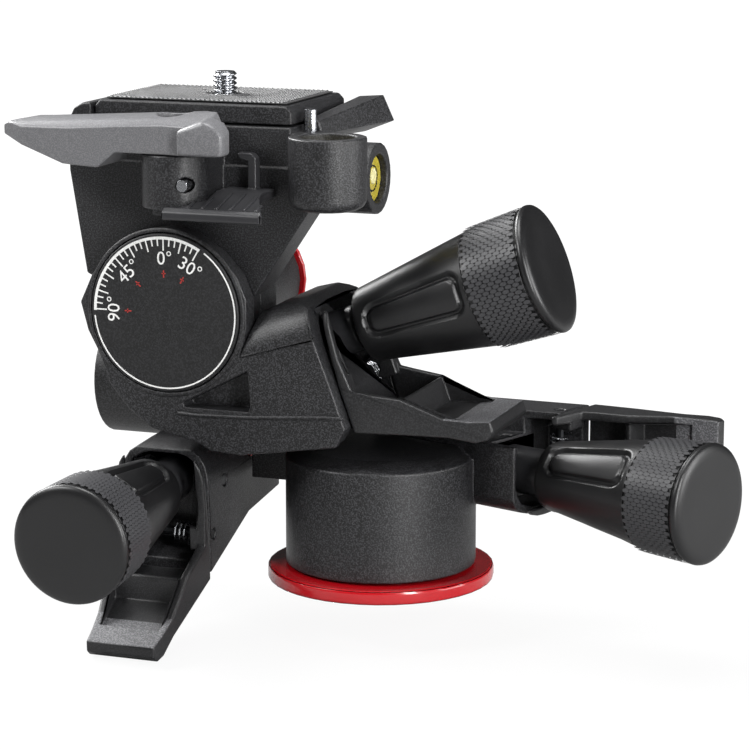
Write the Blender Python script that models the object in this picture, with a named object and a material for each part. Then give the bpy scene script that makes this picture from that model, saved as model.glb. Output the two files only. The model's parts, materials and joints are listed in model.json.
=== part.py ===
"""Three-way geared tripod head: pan base, two worm-driven tilts and a quick-release plate.

Metres, +Z up, +X right, +Y away from the front. The origin is on the pan axis
at the underside of the base disc.
"""
import math

import bmesh
import bpy
from mathutils import Matrix, Vector

# Units and shared clearances
MM = 0.001
FIT_GAP = 0.3 * MM
SLIDE_GAP = 0.5 * MM
OVERLAP = 0.2 * MM
OVERCUT = 5 * MM

# Base disc, spindle and pan housing
BASE_RADIUS = 30 * MM
BASE_THICKNESS = 3.8 * MM
BASE_EDGE = 0.5 * MM
SOCKET_RADIUS = 4.76 * MM
SOCKET_DEPTH = 12 * MM
SPINDLE_RADIUS = 8.5 * MM
SPINDLE_FLANGE_RADIUS = 16.4 * MM
SPINDLE_FLANGE_THICKNESS = 3 * MM
SCREW_RADIUS = 1.3 * MM
SCREW_HEAD_RADIUS = 2.6 * MM
SCREW_HEAD_THICKNESS = 1.6 * MM
BASE_SCREW_CIRCLE = 12.4 * MM
BASE_SCREW_LENGTH = 5.4 * MM
HOUSING_RADIUS = 25.2 * MM
HOUSING_CAVITY_RADIUS = 17.2 * MM
HOUSING_TOP = 35.8 * MM
HOUSING_ROOF = 1.4 * MM
HOUSING_RIM_DROP = 2.6 * MM
HOUSING_RIM_RUN = 5 * MM
HOUSING_LIFT = 0.6 * MM
EAR_RADIUS = 12 * MM
EAR_RIGHT = -27 * MM
EAR_LEFT = -37.8 * MM
NECK_LENGTH = 24 * MM
NECK_FRONT = 2 * MM
NECK_BACK = 24 * MM
NECK_LOW = 23 * MM

# Worm drives: one knob turn moves a 40-tooth wheel by one tooth
TEETH = 40
TOOTH_PITCH_RADIUS = 16 * MM
TOOTH_TIP_RADIUS = 16.6 * MM
TOOTH_ROOT_RADIUS = 14.8 * MM
WHEEL_WIDTH = 6.4 * MM
WHEEL_CAVITY_RADIUS = 17.2 * MM
WORM_PITCH_RADIUS = 4 * MM
WORM_TIP_RADIUS = 4.7 * MM
WORM_ROOT_RADIUS = 3 * MM
WORM_LENGTH = 11 * MM
SHAFT_RADIUS = 2.6 * MM
SHAFT_BACK = 7.5 * MM
SHAFT_SINK = 9 * MM
CENTRE_DISTANCE = TOOTH_PITCH_RADIUS + WORM_PITCH_RADIUS
THREAD_PITCH = 2 * math.pi * TOOTH_PITCH_RADIUS / TEETH
TOOTH_SHARES = (0.30, 0.15)
THREAD_SHARES = (0.26, 0.12)
THREAD_STEPS = 10
CRADLE_WORM_RADIUS = 6.6 * MM
CRADLE_RADIUS = 6.2 * MM
CRADLE_BACK = 8.6 * MM
CRADLE_PIVOT = 26 * MM
CRADLE_PIN_RADIUS = 1.5 * MM
CRADLE_PIN_SINK = 2.2 * MM
WORM_CHAMBER = 7.7 * MM
DRIVE_ROOM = 2.2 * MM
DRIVE_TILT = math.radians(20)
LATERAL_DIP = math.radians(3)
SHARP_ANGLE = math.radians(40)
MOUTH_SHARES = ((0.28, -0.165), (0.42, -0.214), (0.42, 0.094), (0.28, 0.094))
WHEEL_SEAT_RADIUS = 6 * MM
PAN_BOX_TOP = 38.4 * MM
PAN_RELIEF_RIGHT = 47.5 * MM
PAN_RELIEF_BACK = 9.4 * MM

# Release levers: channels that close on the knobs
MOUTH = 36.9 * MM
LEVER_SPAN = 100 * MM
LEVER_WALL = 2.4 * MM
LEVER_PIN_RADIUS = 1.2 * MM
LEVER_PIN_OUT = 34.5 * MM
LEVER_PIN_DROP = 12.5 * MM
LEVER_EAR_RADIUS = 3.2 * MM
LEVER_EAR_WIDTH = 2 * MM
LEVER_SHARES = (
    (0.373, -0.242), (0.50, -0.287), (0.60, -0.325), (0.66, -0.358), (0.695, -0.362),
    (0.716, -0.346), (0.716, -0.318), (0.665, -0.303), (0.605, -0.277), (0.515, -0.197),
    (0.44, -0.160), (0.403, -0.140), (0.396, -0.05), (0.404, 0.06), (0.410, 0.105),
    (0.392, 0.108), (0.373, -0.12),
)
CHANNEL_SHARES = (
    (0.36, -0.214), (0.50, -0.262), (0.60, -0.294), (0.645, -0.302), (0.67, 0.2), (0.36, 0.2),
)
LEVER_RIB = 50 * MM
LEVER_RIB_DROP = 20 * MM
LEVER_RIB_FOOT = 27.4 * MM
LEVER_RIB_THICKNESS = 1.6 * MM
LEVER_TAPER_START = 42 * MM
LEVER_TAPER_END = 74 * MM
SECTION_SHARES = (
    (-1, -6), (1, -6), (1, 0.1), (0.98, 0.36), (0.92, 0.60), (0.80, 0.80), (0.63, 0.93), (0.40, 1),
    (-0.40, 1), (-0.63, 0.93), (-0.80, 0.80), (-0.92, 0.60), (-0.98, 0.36), (-1, 0.1),
)
BOX_TOP = 11.4 * MM
FRONT_BOX_TOP = 13.6 * MM
MOUTH_TOP = 9.4 * MM
FRONT_SIDES = (-19 * MM, 19 * MM)
FRONT_BOX_SIDES = (-23 * MM, 19 * MM)
FRONT_TIP_SIDES = (-14 * MM, 14 * MM)
SMALL_SIDES = (-10.6 * MM, 14.4 * MM)
SMALL_TIP_SIDES = (-5.5 * MM, 13 * MM)
SPRING_RADIUS = 2.3 * MM
SPRING_WIRE = 0.6 * MM
SPRING_PITCH = 1.3 * MM
SPRING_TURNS = 3
SPRING_STEPS = 9

# Knobs, in shares of their length and of their largest radius
FRONT_NECK = 42.6 * MM
FRONT_KNOB_LENGTH = 52.8 * MM
FRONT_KNOB_RADIUS = 17.2 * MM
SMALL_NECK = 41.6 * MM
SMALL_KNOB_LENGTH = 49 * MM
SMALL_KNOB_RADIUS = 15.8 * MM
KNOB_PROFILE_SHARES = (
    (0, 0.50), (0.01, 0.57), (0.05, 0.615), (0.62, 0.92), (0.64, 0.90), (0.66, 0.955),
    (0.94, 0.985), (0.975, 0.96), (1, 0.86),
)
KNOB_STEPS = 25
KNOB_POCKETS = 5
KNOB_POCKET_FLOOR_SHARES = (0.53, 0.80)
POCKET_SHARES = (
    (0.14, 0.12), (0.18, 0.17), (0.51, 0.32), (0.56, 0.27),
    (0.56, -0.27), (0.51, -0.32), (0.18, -0.17), (0.14, -0.12),
)

# Tilt body between the lateral and the front tilt axes
FRONT_AXIS_X = -48.6 * MM
FRONT_AXIS_Z = 72.7 * MM
FRONT_WHEEL_Y = -5.5 * MM
LATERAL_AXIS_Y = 14 * MM
LATERAL_AXIS_Z = 46.5 * MM
LATERAL_WHEEL_X = -54.5 * MM
PAN_WHEEL_Z = 30 * MM
BODY_SPAN = 100 * MM
FACE_FRONT = -28.5 * MM
FACE_BACK = -22.8 * MM
SKIRT_BACK = -25.6 * MM
ARM_BACK = 13.5 * MM
FACE_SHARES = (
    (0.405, -0.045), (0.203, -0.105), (0.224, -0.030), (0.224, 0.045), (0.198, 0.105), (0.150, 0.158), (0.075, 0.207),
    (0, 0.220), (-0.075, 0.207), (-0.156, 0.156), (-0.210, 0.085), (-0.243, 0.014),
    (-0.223, -0.060), (-0.191, -0.120), (-0.164, -0.197), (-0.111, -0.261), (-0.047, -0.308),
    (0.086, -0.338), (0.120, -0.357), (0.202, -0.362), (0.466, -0.322), (0.492, -0.274), (0.454, -0.170),
)
ARM_SHARES = (
    (-0.034, -0.257), (0.010, -0.333), (0.430, -0.333), (0.494, -0.277), (0.383, 0.027), (0.346, 0.044),
    (0.296, 0.035), (0.240, 0.004), (0.216, -0.030), (0.090, -0.150),
)
SHOULDER_SHARES = (
    (0.383, 0.027), (0.346, 0.044), (0.296, 0.035), (0.240, 0.004), (0.205, -0.100), (0.250, -0.200),
    (0.440, -0.150),
)
POCKET_HOLE_SHARES = ((0.044, -0.235), (0.225, -0.140), (0.232, -0.232), (0.225, -0.246), (0.050, -0.246))
BRACKET_SWING_RADIUS = 20.2 * MM
BARREL_RADIUS = 19.2 * MM
BARREL_BACK = 0.4 * MM
REAR_BOSS_RADIUS = 14 * MM
REAR_BOSS_BACK = 30.6 * MM
FRONT_AXLE_RADIUS = 5 * MM
DRUM_RADIUS = 18.8 * MM
DRUM_LEFT = -64 * MM
DRUM_RIGHT = -40.1 * MM
DRUM_WALL = -51 * MM
END_BOSS_RADIUS = 16 * MM
END_BOSS_LEFT = -82.5 * MM
END_CAP_THICKNESS = 2 * MM
END_CAP_RADIUS = 14.5 * MM
LATERAL_AXLE_RADIUS = 6 * MM
WEB_LOW = 50 * MM
WEB_HIGH = 66 * MM
EAR_NOTCH_RADIUS = 13.4 * MM
EAR_NOTCH_RIGHT = -24.6 * MM
DRIVE_BOX_SHARES = (
    (-0.12, 0.09), (-0.12, -0.122), (0.10, -0.135), (0.369, -0.226), (0.369, 0.106), (0.30, 0.114),
    (0.20, 0.095),
)
RED_RING_WIDTH = 1.4 * MM
RED_RING_RADIUS = 20.6 * MM
REAR_RING_RADIUS = 15.2 * MM
AXLE_HEAD_RADIUS = 9.2 * MM
AXLE_HEAD_THICKNESS = 1.6 * MM
DIAL_RADIUS = 20.7 * MM
DIAL_THICKNESS = 1.4 * MM
DIAL_RECESS = 0.8 * MM

# Upper bracket and its fittings
BRACKET_FRONT = -22.4 * MM
BRACKET_BACK = -10.6 * MM
BRACKET_SHARES = (
    (-0.296, 0.380), (-0.296, 0.350), (-0.252, 0.080), (-0.186, 0.050), (-0.190, -0.020), (-0.146, -0.122),
    (-0.075, -0.174), (0, -0.189), (0.075, -0.174), (0.146, -0.122), (0.190, -0.020),
    (0.190, 0.040), (0.222, 0.046), (0.373, 0.272), (0.386, 0.380),
)
HOLDER_LEFT = -78.2 * MM
HOLDER_RIGHT = -16.5 * MM
HOLDER_FRONT = -21.6 * MM
HOLDER_BACK = 21 * MM
HOLDER_LOW = 110.4 * MM
HOLDER_HIGH = 120.8 * MM
JAW_SPAN = 6 * MM
JAW_SHARES = ((0, -2.4), (0, 0.1), (0.2, 0.5), (0.6, 0.73), (1, 0.73), (1, -2.4))
STEP_RIGHT = -10.8 * MM
STEP_BACK = -12.4 * MM
STEP_HIGH = 119.4 * MM
PLATE_LEFT = -71.6 * MM
PLATE_RIGHT = -16.8 * MM
PLATE_FRONT = -20.3 * MM
PLATE_BACK = 18 * MM
PLATE_LOW = 121.3 * MM
PLATE_HIGH = 126 * MM
PLATE_LIP = 1.5 * MM
PAD_THICKNESS = 1 * MM
PAD_MARGIN = 2.4 * MM
PLATE_SCREW_X = -43.5 * MM
PLATE_SCREW_Y = 0
CAMERA_SCREW_RADIUS = 3.1 * MM
CAMERA_SCREW_HEIGHT = 5.5 * MM
CAMERA_SCREW_HEAD_RADIUS = 7 * MM
CAMERA_SCREW_HEAD_THICKNESS = 2.6 * MM
EYE_X = -5.5 * MM
EYE_Y = -24 * MM
EYE_RADIUS = 10 * MM
EYE_LOW = 101 * MM
EYE_HIGH = 119.4 * MM
EYE_VIAL_RADIUS = 7 * MM
EYE_VIAL_DEPTH = 7 * MM
EYE_VIAL_SINK = 2.4 * MM
EYE_ROUND = 2.6 * MM
TUBE_Y = -8 * MM
TUBE_DROP = 3.2 * MM
TUBE_Z = HOLDER_LOW - TUBE_DROP
TUBE_RADIUS = 9.2 * MM
TUBE_LEFT = -24 * MM
TUBE_RIGHT = 2.4 * MM
TUBE_VIAL_RADIUS = 6 * MM
TUBE_VIAL_LENGTH = 16 * MM
TUBE_VIAL_SINK = 1.8 * MM
POINTER_FRONT = -28.3 * MM
POINTER_SHARES = (
    (-0.034, 0.249), (0.022, 0.249), (0.030, 0.260), (0.038, 0.249), (0.091, 0.249), (0.091, 0.290), (-0.034, 0.290),
)
LOCK_X = -43.6 * MM
LOCK_Y = -31.6 * MM
LOCK_POST_RADIUS = 8.8 * MM
LOCK_POST_LOW = 101 * MM
LOCK_LOW = 115 * MM
LOCK_HUB_HIGH = 124.6 * MM
LOCK_SPAN = 100 * MM
LOCK_SLOPE = 0.06
LOCK_SIDE_SHARES = (
    (-0.47, 0.034), (-0.47, 0.052), (-0.44, 0.066), (-0.30, 0.090), (0.122, 0.106), (0.157, 0.060),
    (0.157, 0), (-0.134, 0), (-0.182, -0.040), (-0.28, -0.034), (-0.41, 0.012),
)
LOCK_CROWN_SHARES = (
    (-0.12, -0.3), (-0.12, 0.050), (-0.094, 0.069), (-0.06, 0.089), (-0.02, 0.098), (0.03, 0.097), (0.07, 0.086),
    (0.10, 0.064), (0.10, -0.3),
)
LOCK_SHARES = (
    (0.085, 0.02), (0.068, 0.062), (0, 0.083), (-0.07, 0.078), (-0.16, 0.070), (-0.26, 0.060), (-0.40, 0.030),
    (-0.465, -0.01), (-0.462, -0.045), (-0.40, -0.075), (-0.26, -0.085), (-0.12, -0.083), (0, -0.085),
    (0.07, -0.095), (0.15, -0.090), (0.155, -0.045),
)
LOCK_SCREW_RADIUS = 3 * MM
LOCK_SCREW_HEAD_RADIUS = 4.2 * MM
LOCK_SEAT_DEPTH = 3.2 * MM
CATCH_SPAN = 10 * MM
CATCH_X = -33.3 * MM
CATCH_FRONT = -46 * MM
CATCH_BACK = -22.7 * MM
CATCH_LOW = 99.4 * MM
CATCH_PLAN_SHARES = (
    (-0.84, 0.05), (-0.80, 0), (1.80, 0), (1.84, 0.05), (1.80, 0.20), (1.30, 1.30), (1.30, 2.33), (0.03, 2.33),
    (0, 0.98), (-0.80, 0.20),
)
CATCH_SIDE_SHARES = (
    (0, 0.02), (0.02, 0.22), (0.16, 0.33), (0.30, 0.26), (1.55, 0.60), (2.33, 0.60), (2.33, 0.36), (1.60, 0.36),
    (0.20, 0),
)
CATCH_POST_SHARES = (
    (0.66, 0.50), (0.66, 1.30), (0.42, 1.36), (0.38, 1.51), (0.76, 1.51), (0.90, 1.40), (0.90, 0.50),
)
CATCH_POST_THICKNESS = 3 * MM
CATCH_TAIL_BACK = -43.8 * MM
CATCH_PIN_RADIUS = 1.5 * MM
CATCH_SLIDE = 3 * MM
STOP_PIN_X = -38.3 * MM
STOP_PIN_Z = 107.4 * MM
SPRING_PIN_X = -13.6 * MM
SPRING_PIN_Y = -15 * MM
SPRING_PIN_RADIUS = 1.6 * MM
SPRING_PIN_SINK = 3 * MM
WING_FRONT_SHARES = (
    (0, 0), (0.022, 0), (0.046, 0.016), (0.036, 0.048), (0.016, 0.054), (0, 0.050),
)
WING_BACK_SHARES = (
    (0, 0.006), (0.045, -0.012), (0.127, 0.020), (0.096, 0.087), (0.028, 0.082), (0, 0.066),
)
WING_SPAN = 100 * MM
WING_LEFT = -16.2 * MM
WING_LOW = 116.9 * MM
WING_FRONT = -12 * MM
WING_BACK = 20.5 * MM

# Sides of round pieces
PIN_STEPS = 10
ROUND_STEPS = 24
LARGE_STEPS = 40


def clear_scene():
    """Empty the scene of the objects it opened with."""
    for ob in list(bpy.data.objects):
        bpy.data.objects.remove(ob, do_unlink=True)


def linear(code):
    """Linear colour from an sRGB hex code."""
    values = [int(code[i:i + 2], 16) / 255 for i in (0, 2, 4)]
    turned = [v / 12.92 if v <= 0.04045 else ((v + 0.055) / 1.055) ** 2.4 for v in values]
    return (*turned, 1)


def surface(name, code, roughness, metallic):
    """A material with its own colour, roughness and metallic values."""
    mat = bpy.data.materials.new(name)
    mat.use_nodes = True
    shader = mat.node_tree.nodes["Principled BSDF"]
    shader.inputs["Base Color"].default_value = linear(code)
    shader.inputs["Roughness"].default_value = roughness
    shader.inputs["Metallic"].default_value = metallic
    return mat


def black_casting(name):
    return surface(name, "1D1D1F", 0.55, 0)


def grey_casting(name):
    return surface(name, "4A4B4E", 0.5, 0)


def black_plastic(name):
    return surface(name, "18181A", 0.38, 0)


def red_enamel(name):
    return surface(name, "C8141E", 0.25, 0)


def steel(name):
    return surface(name, "B9BABC", 0.28, 1)


def bronze(name):
    return surface(name, "B08A45", 0.35, 1)


def rubber(name):
    return surface(name, "232323", 0.85, 0)


def vial_glass(name):
    return surface(name, "C9B23A", 0.1, 0)


# Solid makers, all in a local frame
def prism(outline, low, high, axis="Y"):
    """A solid from an outline pushed from low to high along one axis."""
    order = {"X": (2, 0, 1), "Y": (0, 2, 1), "Z": (0, 1, 2)}[axis]
    bm = bmesh.new()
    ends = []
    for level in (low, high):
        ring = []
        for a, b in outline:
            parts = (a, b, level)
            ring.append(bm.verts.new([parts[k] for k in order]))
        ends.append(ring)
    bm.faces.new(ends[0])
    bm.faces.new(ends[1])
    for i in range(len(outline)):
        j = (i + 1) % len(outline)
        bm.faces.new((ends[0][i], ends[0][j], ends[1][j], ends[1][i]))
    bmesh.ops.recalc_face_normals(bm, faces=bm.faces[:])
    return bm


def box(low, high):
    """A box between two corners."""
    outline = ((low[0], low[1]), (high[0], low[1]), (high[0], high[1]), (low[0], high[1]))
    return prism(outline, low[2], high[2], "Z")


def scaled(shares, span, at=(0, 0)):
    """An outline from shares of one span."""
    return [(at[0] + a * span, at[1] + b * span) for a, b in shares]


def lathe(profile, steps=ROUND_STEPS, axis="X", at=(0, 0)):
    """A closed solid turned about an axis: profile points are (along, radius)."""
    bm = bmesh.new()
    rings = []
    for along, radius in profile:
        if radius == 0:
            rings.append([bm.verts.new((along, 0, 0))])
            continue
        turn = [2 * math.pi * k / steps for k in range(steps)]
        rings.append([bm.verts.new((along, radius * math.cos(t), radius * math.sin(t))) for t in turn])
    for one, two in zip(rings, rings[1:]):
        for k in range(steps):
            n = (k + 1) % steps
            if len(one) == 1:
                bm.faces.new((one[0], two[n], two[k]))
            elif len(two) == 1:
                bm.faces.new((one[k], one[n], two[0]))
            else:
                bm.faces.new((one[k], one[n], two[n], two[k]))
    if len(rings[0]) > 1:
        bm.faces.new(rings[0])
    if len(rings[-1]) > 1:
        bm.faces.new(rings[-1])
    bmesh.ops.recalc_face_normals(bm, faces=bm.faces[:])
    turns = {"X": Matrix.Identity(4), "Y": Matrix.Rotation(math.pi / 2, 4, "Z"),
             "Z": Matrix.Rotation(-math.pi / 2, 4, "Y")}
    shift = {"X": (0, *at), "Y": (at[0], 0, at[1]), "Z": (*at, 0)}[axis]
    bm.transform(Matrix.Translation(shift) @ turns[axis])
    return bm


def rod(low, high, radius, axis="X", at=(0, 0), steps=ROUND_STEPS):
    """A plain round rod along an axis."""
    return lathe(((low, radius), (high, radius)), steps, axis, at)


def ring(low, high, outer, inner, axis="X", at=(0, 0), steps=ROUND_STEPS):
    """A plain round ring along an axis."""
    return less(rod(low, high, outer, axis, at, steps), rod(low - OVERCUT, high + OVERCUT, inner, axis, at, steps))


def as_object(bm, name):
    mesh = bpy.data.meshes.new(name)
    bm.to_mesh(mesh)
    bm.free()
    ob = bpy.data.objects.new(name, mesh)
    bpy.context.scene.collection.objects.link(ob)
    return ob


def combine(first, second, operation):
    """One solid from two by an exact boolean."""
    target = as_object(first, "target")
    tool = as_object(second, "tool")
    tool.hide_render = True
    tool.display_type = "WIRE"
    step = target.modifiers.new("step", "BOOLEAN")
    step.operation = operation
    step.solver = "EXACT"
    step.object = tool
    graph = bpy.context.evaluated_depsgraph_get()
    mesh = bpy.data.meshes.new_from_object(target.evaluated_get(graph))
    bm = bmesh.new()
    bm.from_mesh(mesh)
    for ob in (target, tool):
        old = ob.data
        bpy.data.objects.remove(ob, do_unlink=True)
        bpy.data.meshes.remove(old)
    bpy.data.meshes.remove(mesh)
    return bm


def less(first, *others):
    for other in others:
        first = combine(first, other, "DIFFERENCE")
    return first


def plus(first, *others):
    for other in others:
        first = combine(first, other, "UNION")
    return first


def moved(bm, matrix):
    bm.transform(matrix)
    return bm


def place(bm, name, mat, pivot, frame=None, origin=(0, 0, 0), smooth=True):
    """Hang a solid under its pivot, with its origin on its own axis."""
    frame = frame or Matrix.Identity(4)
    bm.transform(Matrix.Translation([-v for v in origin]))
    ob = as_object(bm, name)
    ob.data.materials.append(mat)
    ob.matrix_world = frame @ Matrix.Translation(origin)
    if pivot is not None:
        ob.parent = pivot
        ob.matrix_parent_inverse = Matrix.Translation(-pivot.location)
    if smooth:
        for face in ob.data.polygons:
            face.use_smooth = True
        ob.data.set_sharp_from_angle(angle=SHARP_ANGLE)
    return ob


def pivot_at(name, x, y, z):
    """An empty on a joint's axis."""
    empty = bpy.data.objects.new(name, None)
    bpy.context.scene.collection.objects.link(empty)
    empty.location = (x, y, z)
    return empty


# Gears
def worm_wheel(bore):
    """A wheel about local Y with slightly helical teeth and a space at its lowest point."""
    bm = bmesh.new()
    step = 2 * math.pi / TEETH
    helix = THREAD_PITCH / (2 * math.pi * WORM_PITCH_RADIUS)
    root, tip = TOOTH_SHARES
    sides = []
    for y in (-WHEEL_WIDTH / 2, WHEEL_WIDTH / 2):
        twist = -y * helix / TOOTH_PITCH_RADIUS
        outer = []
        inner = []
        for k in range(TEETH):
            middle = (k + 0.5) * step + twist
            for share, radius in ((-root, TOOTH_ROOT_RADIUS), (-tip, TOOTH_TIP_RADIUS),
                                  (tip, TOOTH_TIP_RADIUS), (root, TOOTH_ROOT_RADIUS)):
                a = middle + share * step
                outer.append(bm.verts.new((radius * math.sin(a), y, -radius * math.cos(a))))
            a = k * step
            inner.append(bm.verts.new((bore * math.sin(a), y, -bore * math.cos(a))))
        sides.append((outer, inner))
    (outer_a, inner_a), (outer_b, inner_b) = sides
    count = len(outer_a)
    for k in range(count):
        n = (k + 1) % count
        bm.faces.new((outer_a[k], outer_a[n], outer_b[n], outer_b[k]))
    for k in range(TEETH):
        n = (k + 1) % TEETH
        bm.faces.new((inner_a[k], inner_b[k], inner_b[n], inner_a[n]))
        for outer, inner in sides:
            edge = [outer[(4 * k + m) % count] for m in range(5)]
            bm.faces.new((*edge, inner[n], inner[k]))
    bmesh.ops.recalc_face_normals(bm, faces=bm.faces[:])
    return bm


def worm_thread():
    """A single-start thread about local X, its crest facing the wheel at the middle."""
    bm = bmesh.new()
    root, tip = THREAD_SHARES
    turns = round(WORM_LENGTH / THREAD_PITCH / 2)
    columns = []
    for k in range(THREAD_STEPS):
        share = k / THREAD_STEPS
        angle = 2 * math.pi * (share + 0.25)
        column = []
        for turn in range(-turns, turns):
            for part, radius in ((-root, WORM_ROOT_RADIUS), (-tip, WORM_TIP_RADIUS),
                                 (tip, WORM_TIP_RADIUS), (root, WORM_ROOT_RADIUS)):
                along = (turn + share + part) * THREAD_PITCH
                column.append(bm.verts.new((along, radius * math.cos(angle), radius * math.sin(angle))))
        columns.append(column)
    for k in range(THREAD_STEPS):
        one = columns[k]
        two = columns[(k + 1) % THREAD_STEPS]
        lead = 4 if k == THREAD_STEPS - 1 else 0
        for m in range(len(one) - 1 - lead):
            bm.faces.new((one[m], one[m + 1], two[m + 1 + lead], two[m + lead]))
    first = columns[0]
    last = columns[-1]
    low_loop = [column[0] for column in columns] + [first[m] for m in range(4, 0, -1)]
    high_loop = [column[-1] for column in columns] + [last[-1 - m] for m in range(1, 5)]
    low_tip = bm.verts.new((-(turns + 0.2) * THREAD_PITCH, 0, 0))
    high_tip = bm.verts.new((turns * THREAD_PITCH, 0, 0))
    for loop, point in ((low_loop, low_tip), (high_loop, high_tip)):
        for k in range(len(loop)):
            bm.faces.new((loop[k], loop[(k + 1) % len(loop)], point))
    bmesh.ops.recalc_face_normals(bm, faces=bm.faces[:])
    return bm


# One worm drive, in its own frame: X along the knob, Z towards the wheel's axis
def drive_frame(wheel_centre, out, up):
    """Frame with its origin where the worm meets the wheel's middle plane."""
    out = Vector(out)
    up = Vector(up)
    side = up.cross(out)
    centre = Vector(wheel_centre) - up * CENTRE_DISTANCE
    turn = Matrix((out, side, up)).transposed().to_4x4()
    return Matrix.Translation(centre) @ turn


def rounded_top(solid, sides, top=BOX_TOP):
    """A drive's casting or lever with its upper side rounded across."""
    middle = sum(sides) / 2
    section = [(middle + a * (sides[1] - middle), b * top) for a, b in SECTION_SHARES]
    return combine(solid, prism(section, -LEVER_SPAN, LEVER_SPAN, "X"), "INTERSECT")


def drive_box(sides):
    """The casting round a worm carrier and its mouth."""
    return rounded_top(prism(scaled(DRIVE_BOX_SHARES, LEVER_SPAN), *sides), sides)


def drive_cuts(sides, pin_low, pin_high):
    """The rooms and pin holes that a casting gives one drive."""
    room = CRADLE_WORM_RADIUS + SLIDE_GAP
    low = room + DRIVE_ROOM
    tube = box((-CRADLE_BACK - SLIDE_GAP, -room, -low), (MOUTH, room, room))
    mouth_sides = (sides[0] + LEVER_WALL - FIT_GAP, sides[1] - LEVER_WALL + FIT_GAP)
    mouth = rounded_top(prism(scaled(MOUTH_SHARES, LEVER_SPAN), *mouth_sides), mouth_sides, MOUTH_TOP)
    cradle_hole = rod(pin_low, pin_high, CRADLE_PIN_RADIUS + FIT_GAP, "Y", (CRADLE_PIVOT, 0), PIN_STEPS)
    at = (LEVER_PIN_OUT, -LEVER_PIN_DROP)
    lever_hole = rod(pin_low, pin_high, LEVER_PIN_RADIUS + FIT_GAP, "Y", at, PIN_STEPS)
    return [tube, mouth, cradle_hole, lever_hole]


def cradle_solid():
    """The carrier that holds the worm and swings it out of the wheel."""
    neck = SMALL_NECK - 2 * FIT_GAP
    body = lathe((
        (-CRADLE_BACK, CRADLE_WORM_RADIUS), (WORM_LENGTH, CRADLE_WORM_RADIUS),
        (WORM_LENGTH + FIT_GAP, CRADLE_RADIUS), (neck, CRADLE_RADIUS),
    ))
    chamber = rod(-CRADLE_BACK - OVERCUT, WORM_CHAMBER, WORM_TIP_RADIUS + SLIDE_GAP)
    bore = rod(0, neck + OVERCUT, SHAFT_RADIUS + FIT_GAP)
    window = box(
        (-CRADLE_BACK - OVERCUT, -WHEEL_CAVITY_RADIUS, SLIDE_GAP),
        (WORM_LENGTH + SLIDE_GAP, WHEEL_CAVITY_RADIUS, WHEEL_CAVITY_RADIUS),
    )
    holes = []
    inner = CRADLE_RADIUS - CRADLE_PIN_SINK - FIT_GAP
    for low, high in ((-WHEEL_CAVITY_RADIUS, -inner), (inner, WHEEL_CAVITY_RADIUS)):
        holes.append(rod(low, high, CRADLE_PIN_RADIUS + FIT_GAP, "Y", (CRADLE_PIVOT, 0), PIN_STEPS))
    return less(body, chamber, bore, window, *holes)


def cradle_pin(side, reach):
    """One of the two short pins that the carrier swings on."""
    ends = sorted((side * (CRADLE_RADIUS - CRADLE_PIN_SINK), side * reach))
    return rod(*ends, CRADLE_PIN_RADIUS, "Y", (CRADLE_PIVOT, 0), PIN_STEPS)


def worm_shaft(neck):
    """The worm and its shaft, one piece."""
    shaft = rod(-SHAFT_BACK, neck + SHAFT_SINK, SHAFT_RADIUS)
    return plus(worm_thread(), shaft)


def knob_solid(neck, length, radius):
    """A tapered knob with a knurled band's seat and long pockets round its cone."""
    profile = [(neck + a * length, r * radius) for a, r in KNOB_PROFILE_SHARES]
    body = lathe(profile, KNOB_STEPS)
    body = less(body, rod(neck - OVERCUT, neck + SHAFT_SINK + FIT_GAP, SHAFT_RADIUS + FIT_GAP, "X"))
    low, high = KNOB_POCKET_FLOOR_SHARES
    start = POCKET_SHARES[0][0]
    end = POCKET_SHARES[3][0]
    for k in range(KNOB_POCKETS):
        outline = [(neck + a * length, b * radius) for a, b in POCKET_SHARES]
        pocket = prism(outline, 0, radius + OVERCUT, "Z")
        for vert in pocket.verts:
            if vert.co.z == 0:
                share = ((vert.co.x - neck) / length - start) / (end - start)
                vert.co.z = radius * (low + (high - low) * share)
        pocket.transform(Matrix.Rotation(2 * math.pi * (k + 0.5) / KNOB_POCKETS, 4, "X"))
        body = less(body, pocket)
    return body


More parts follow.
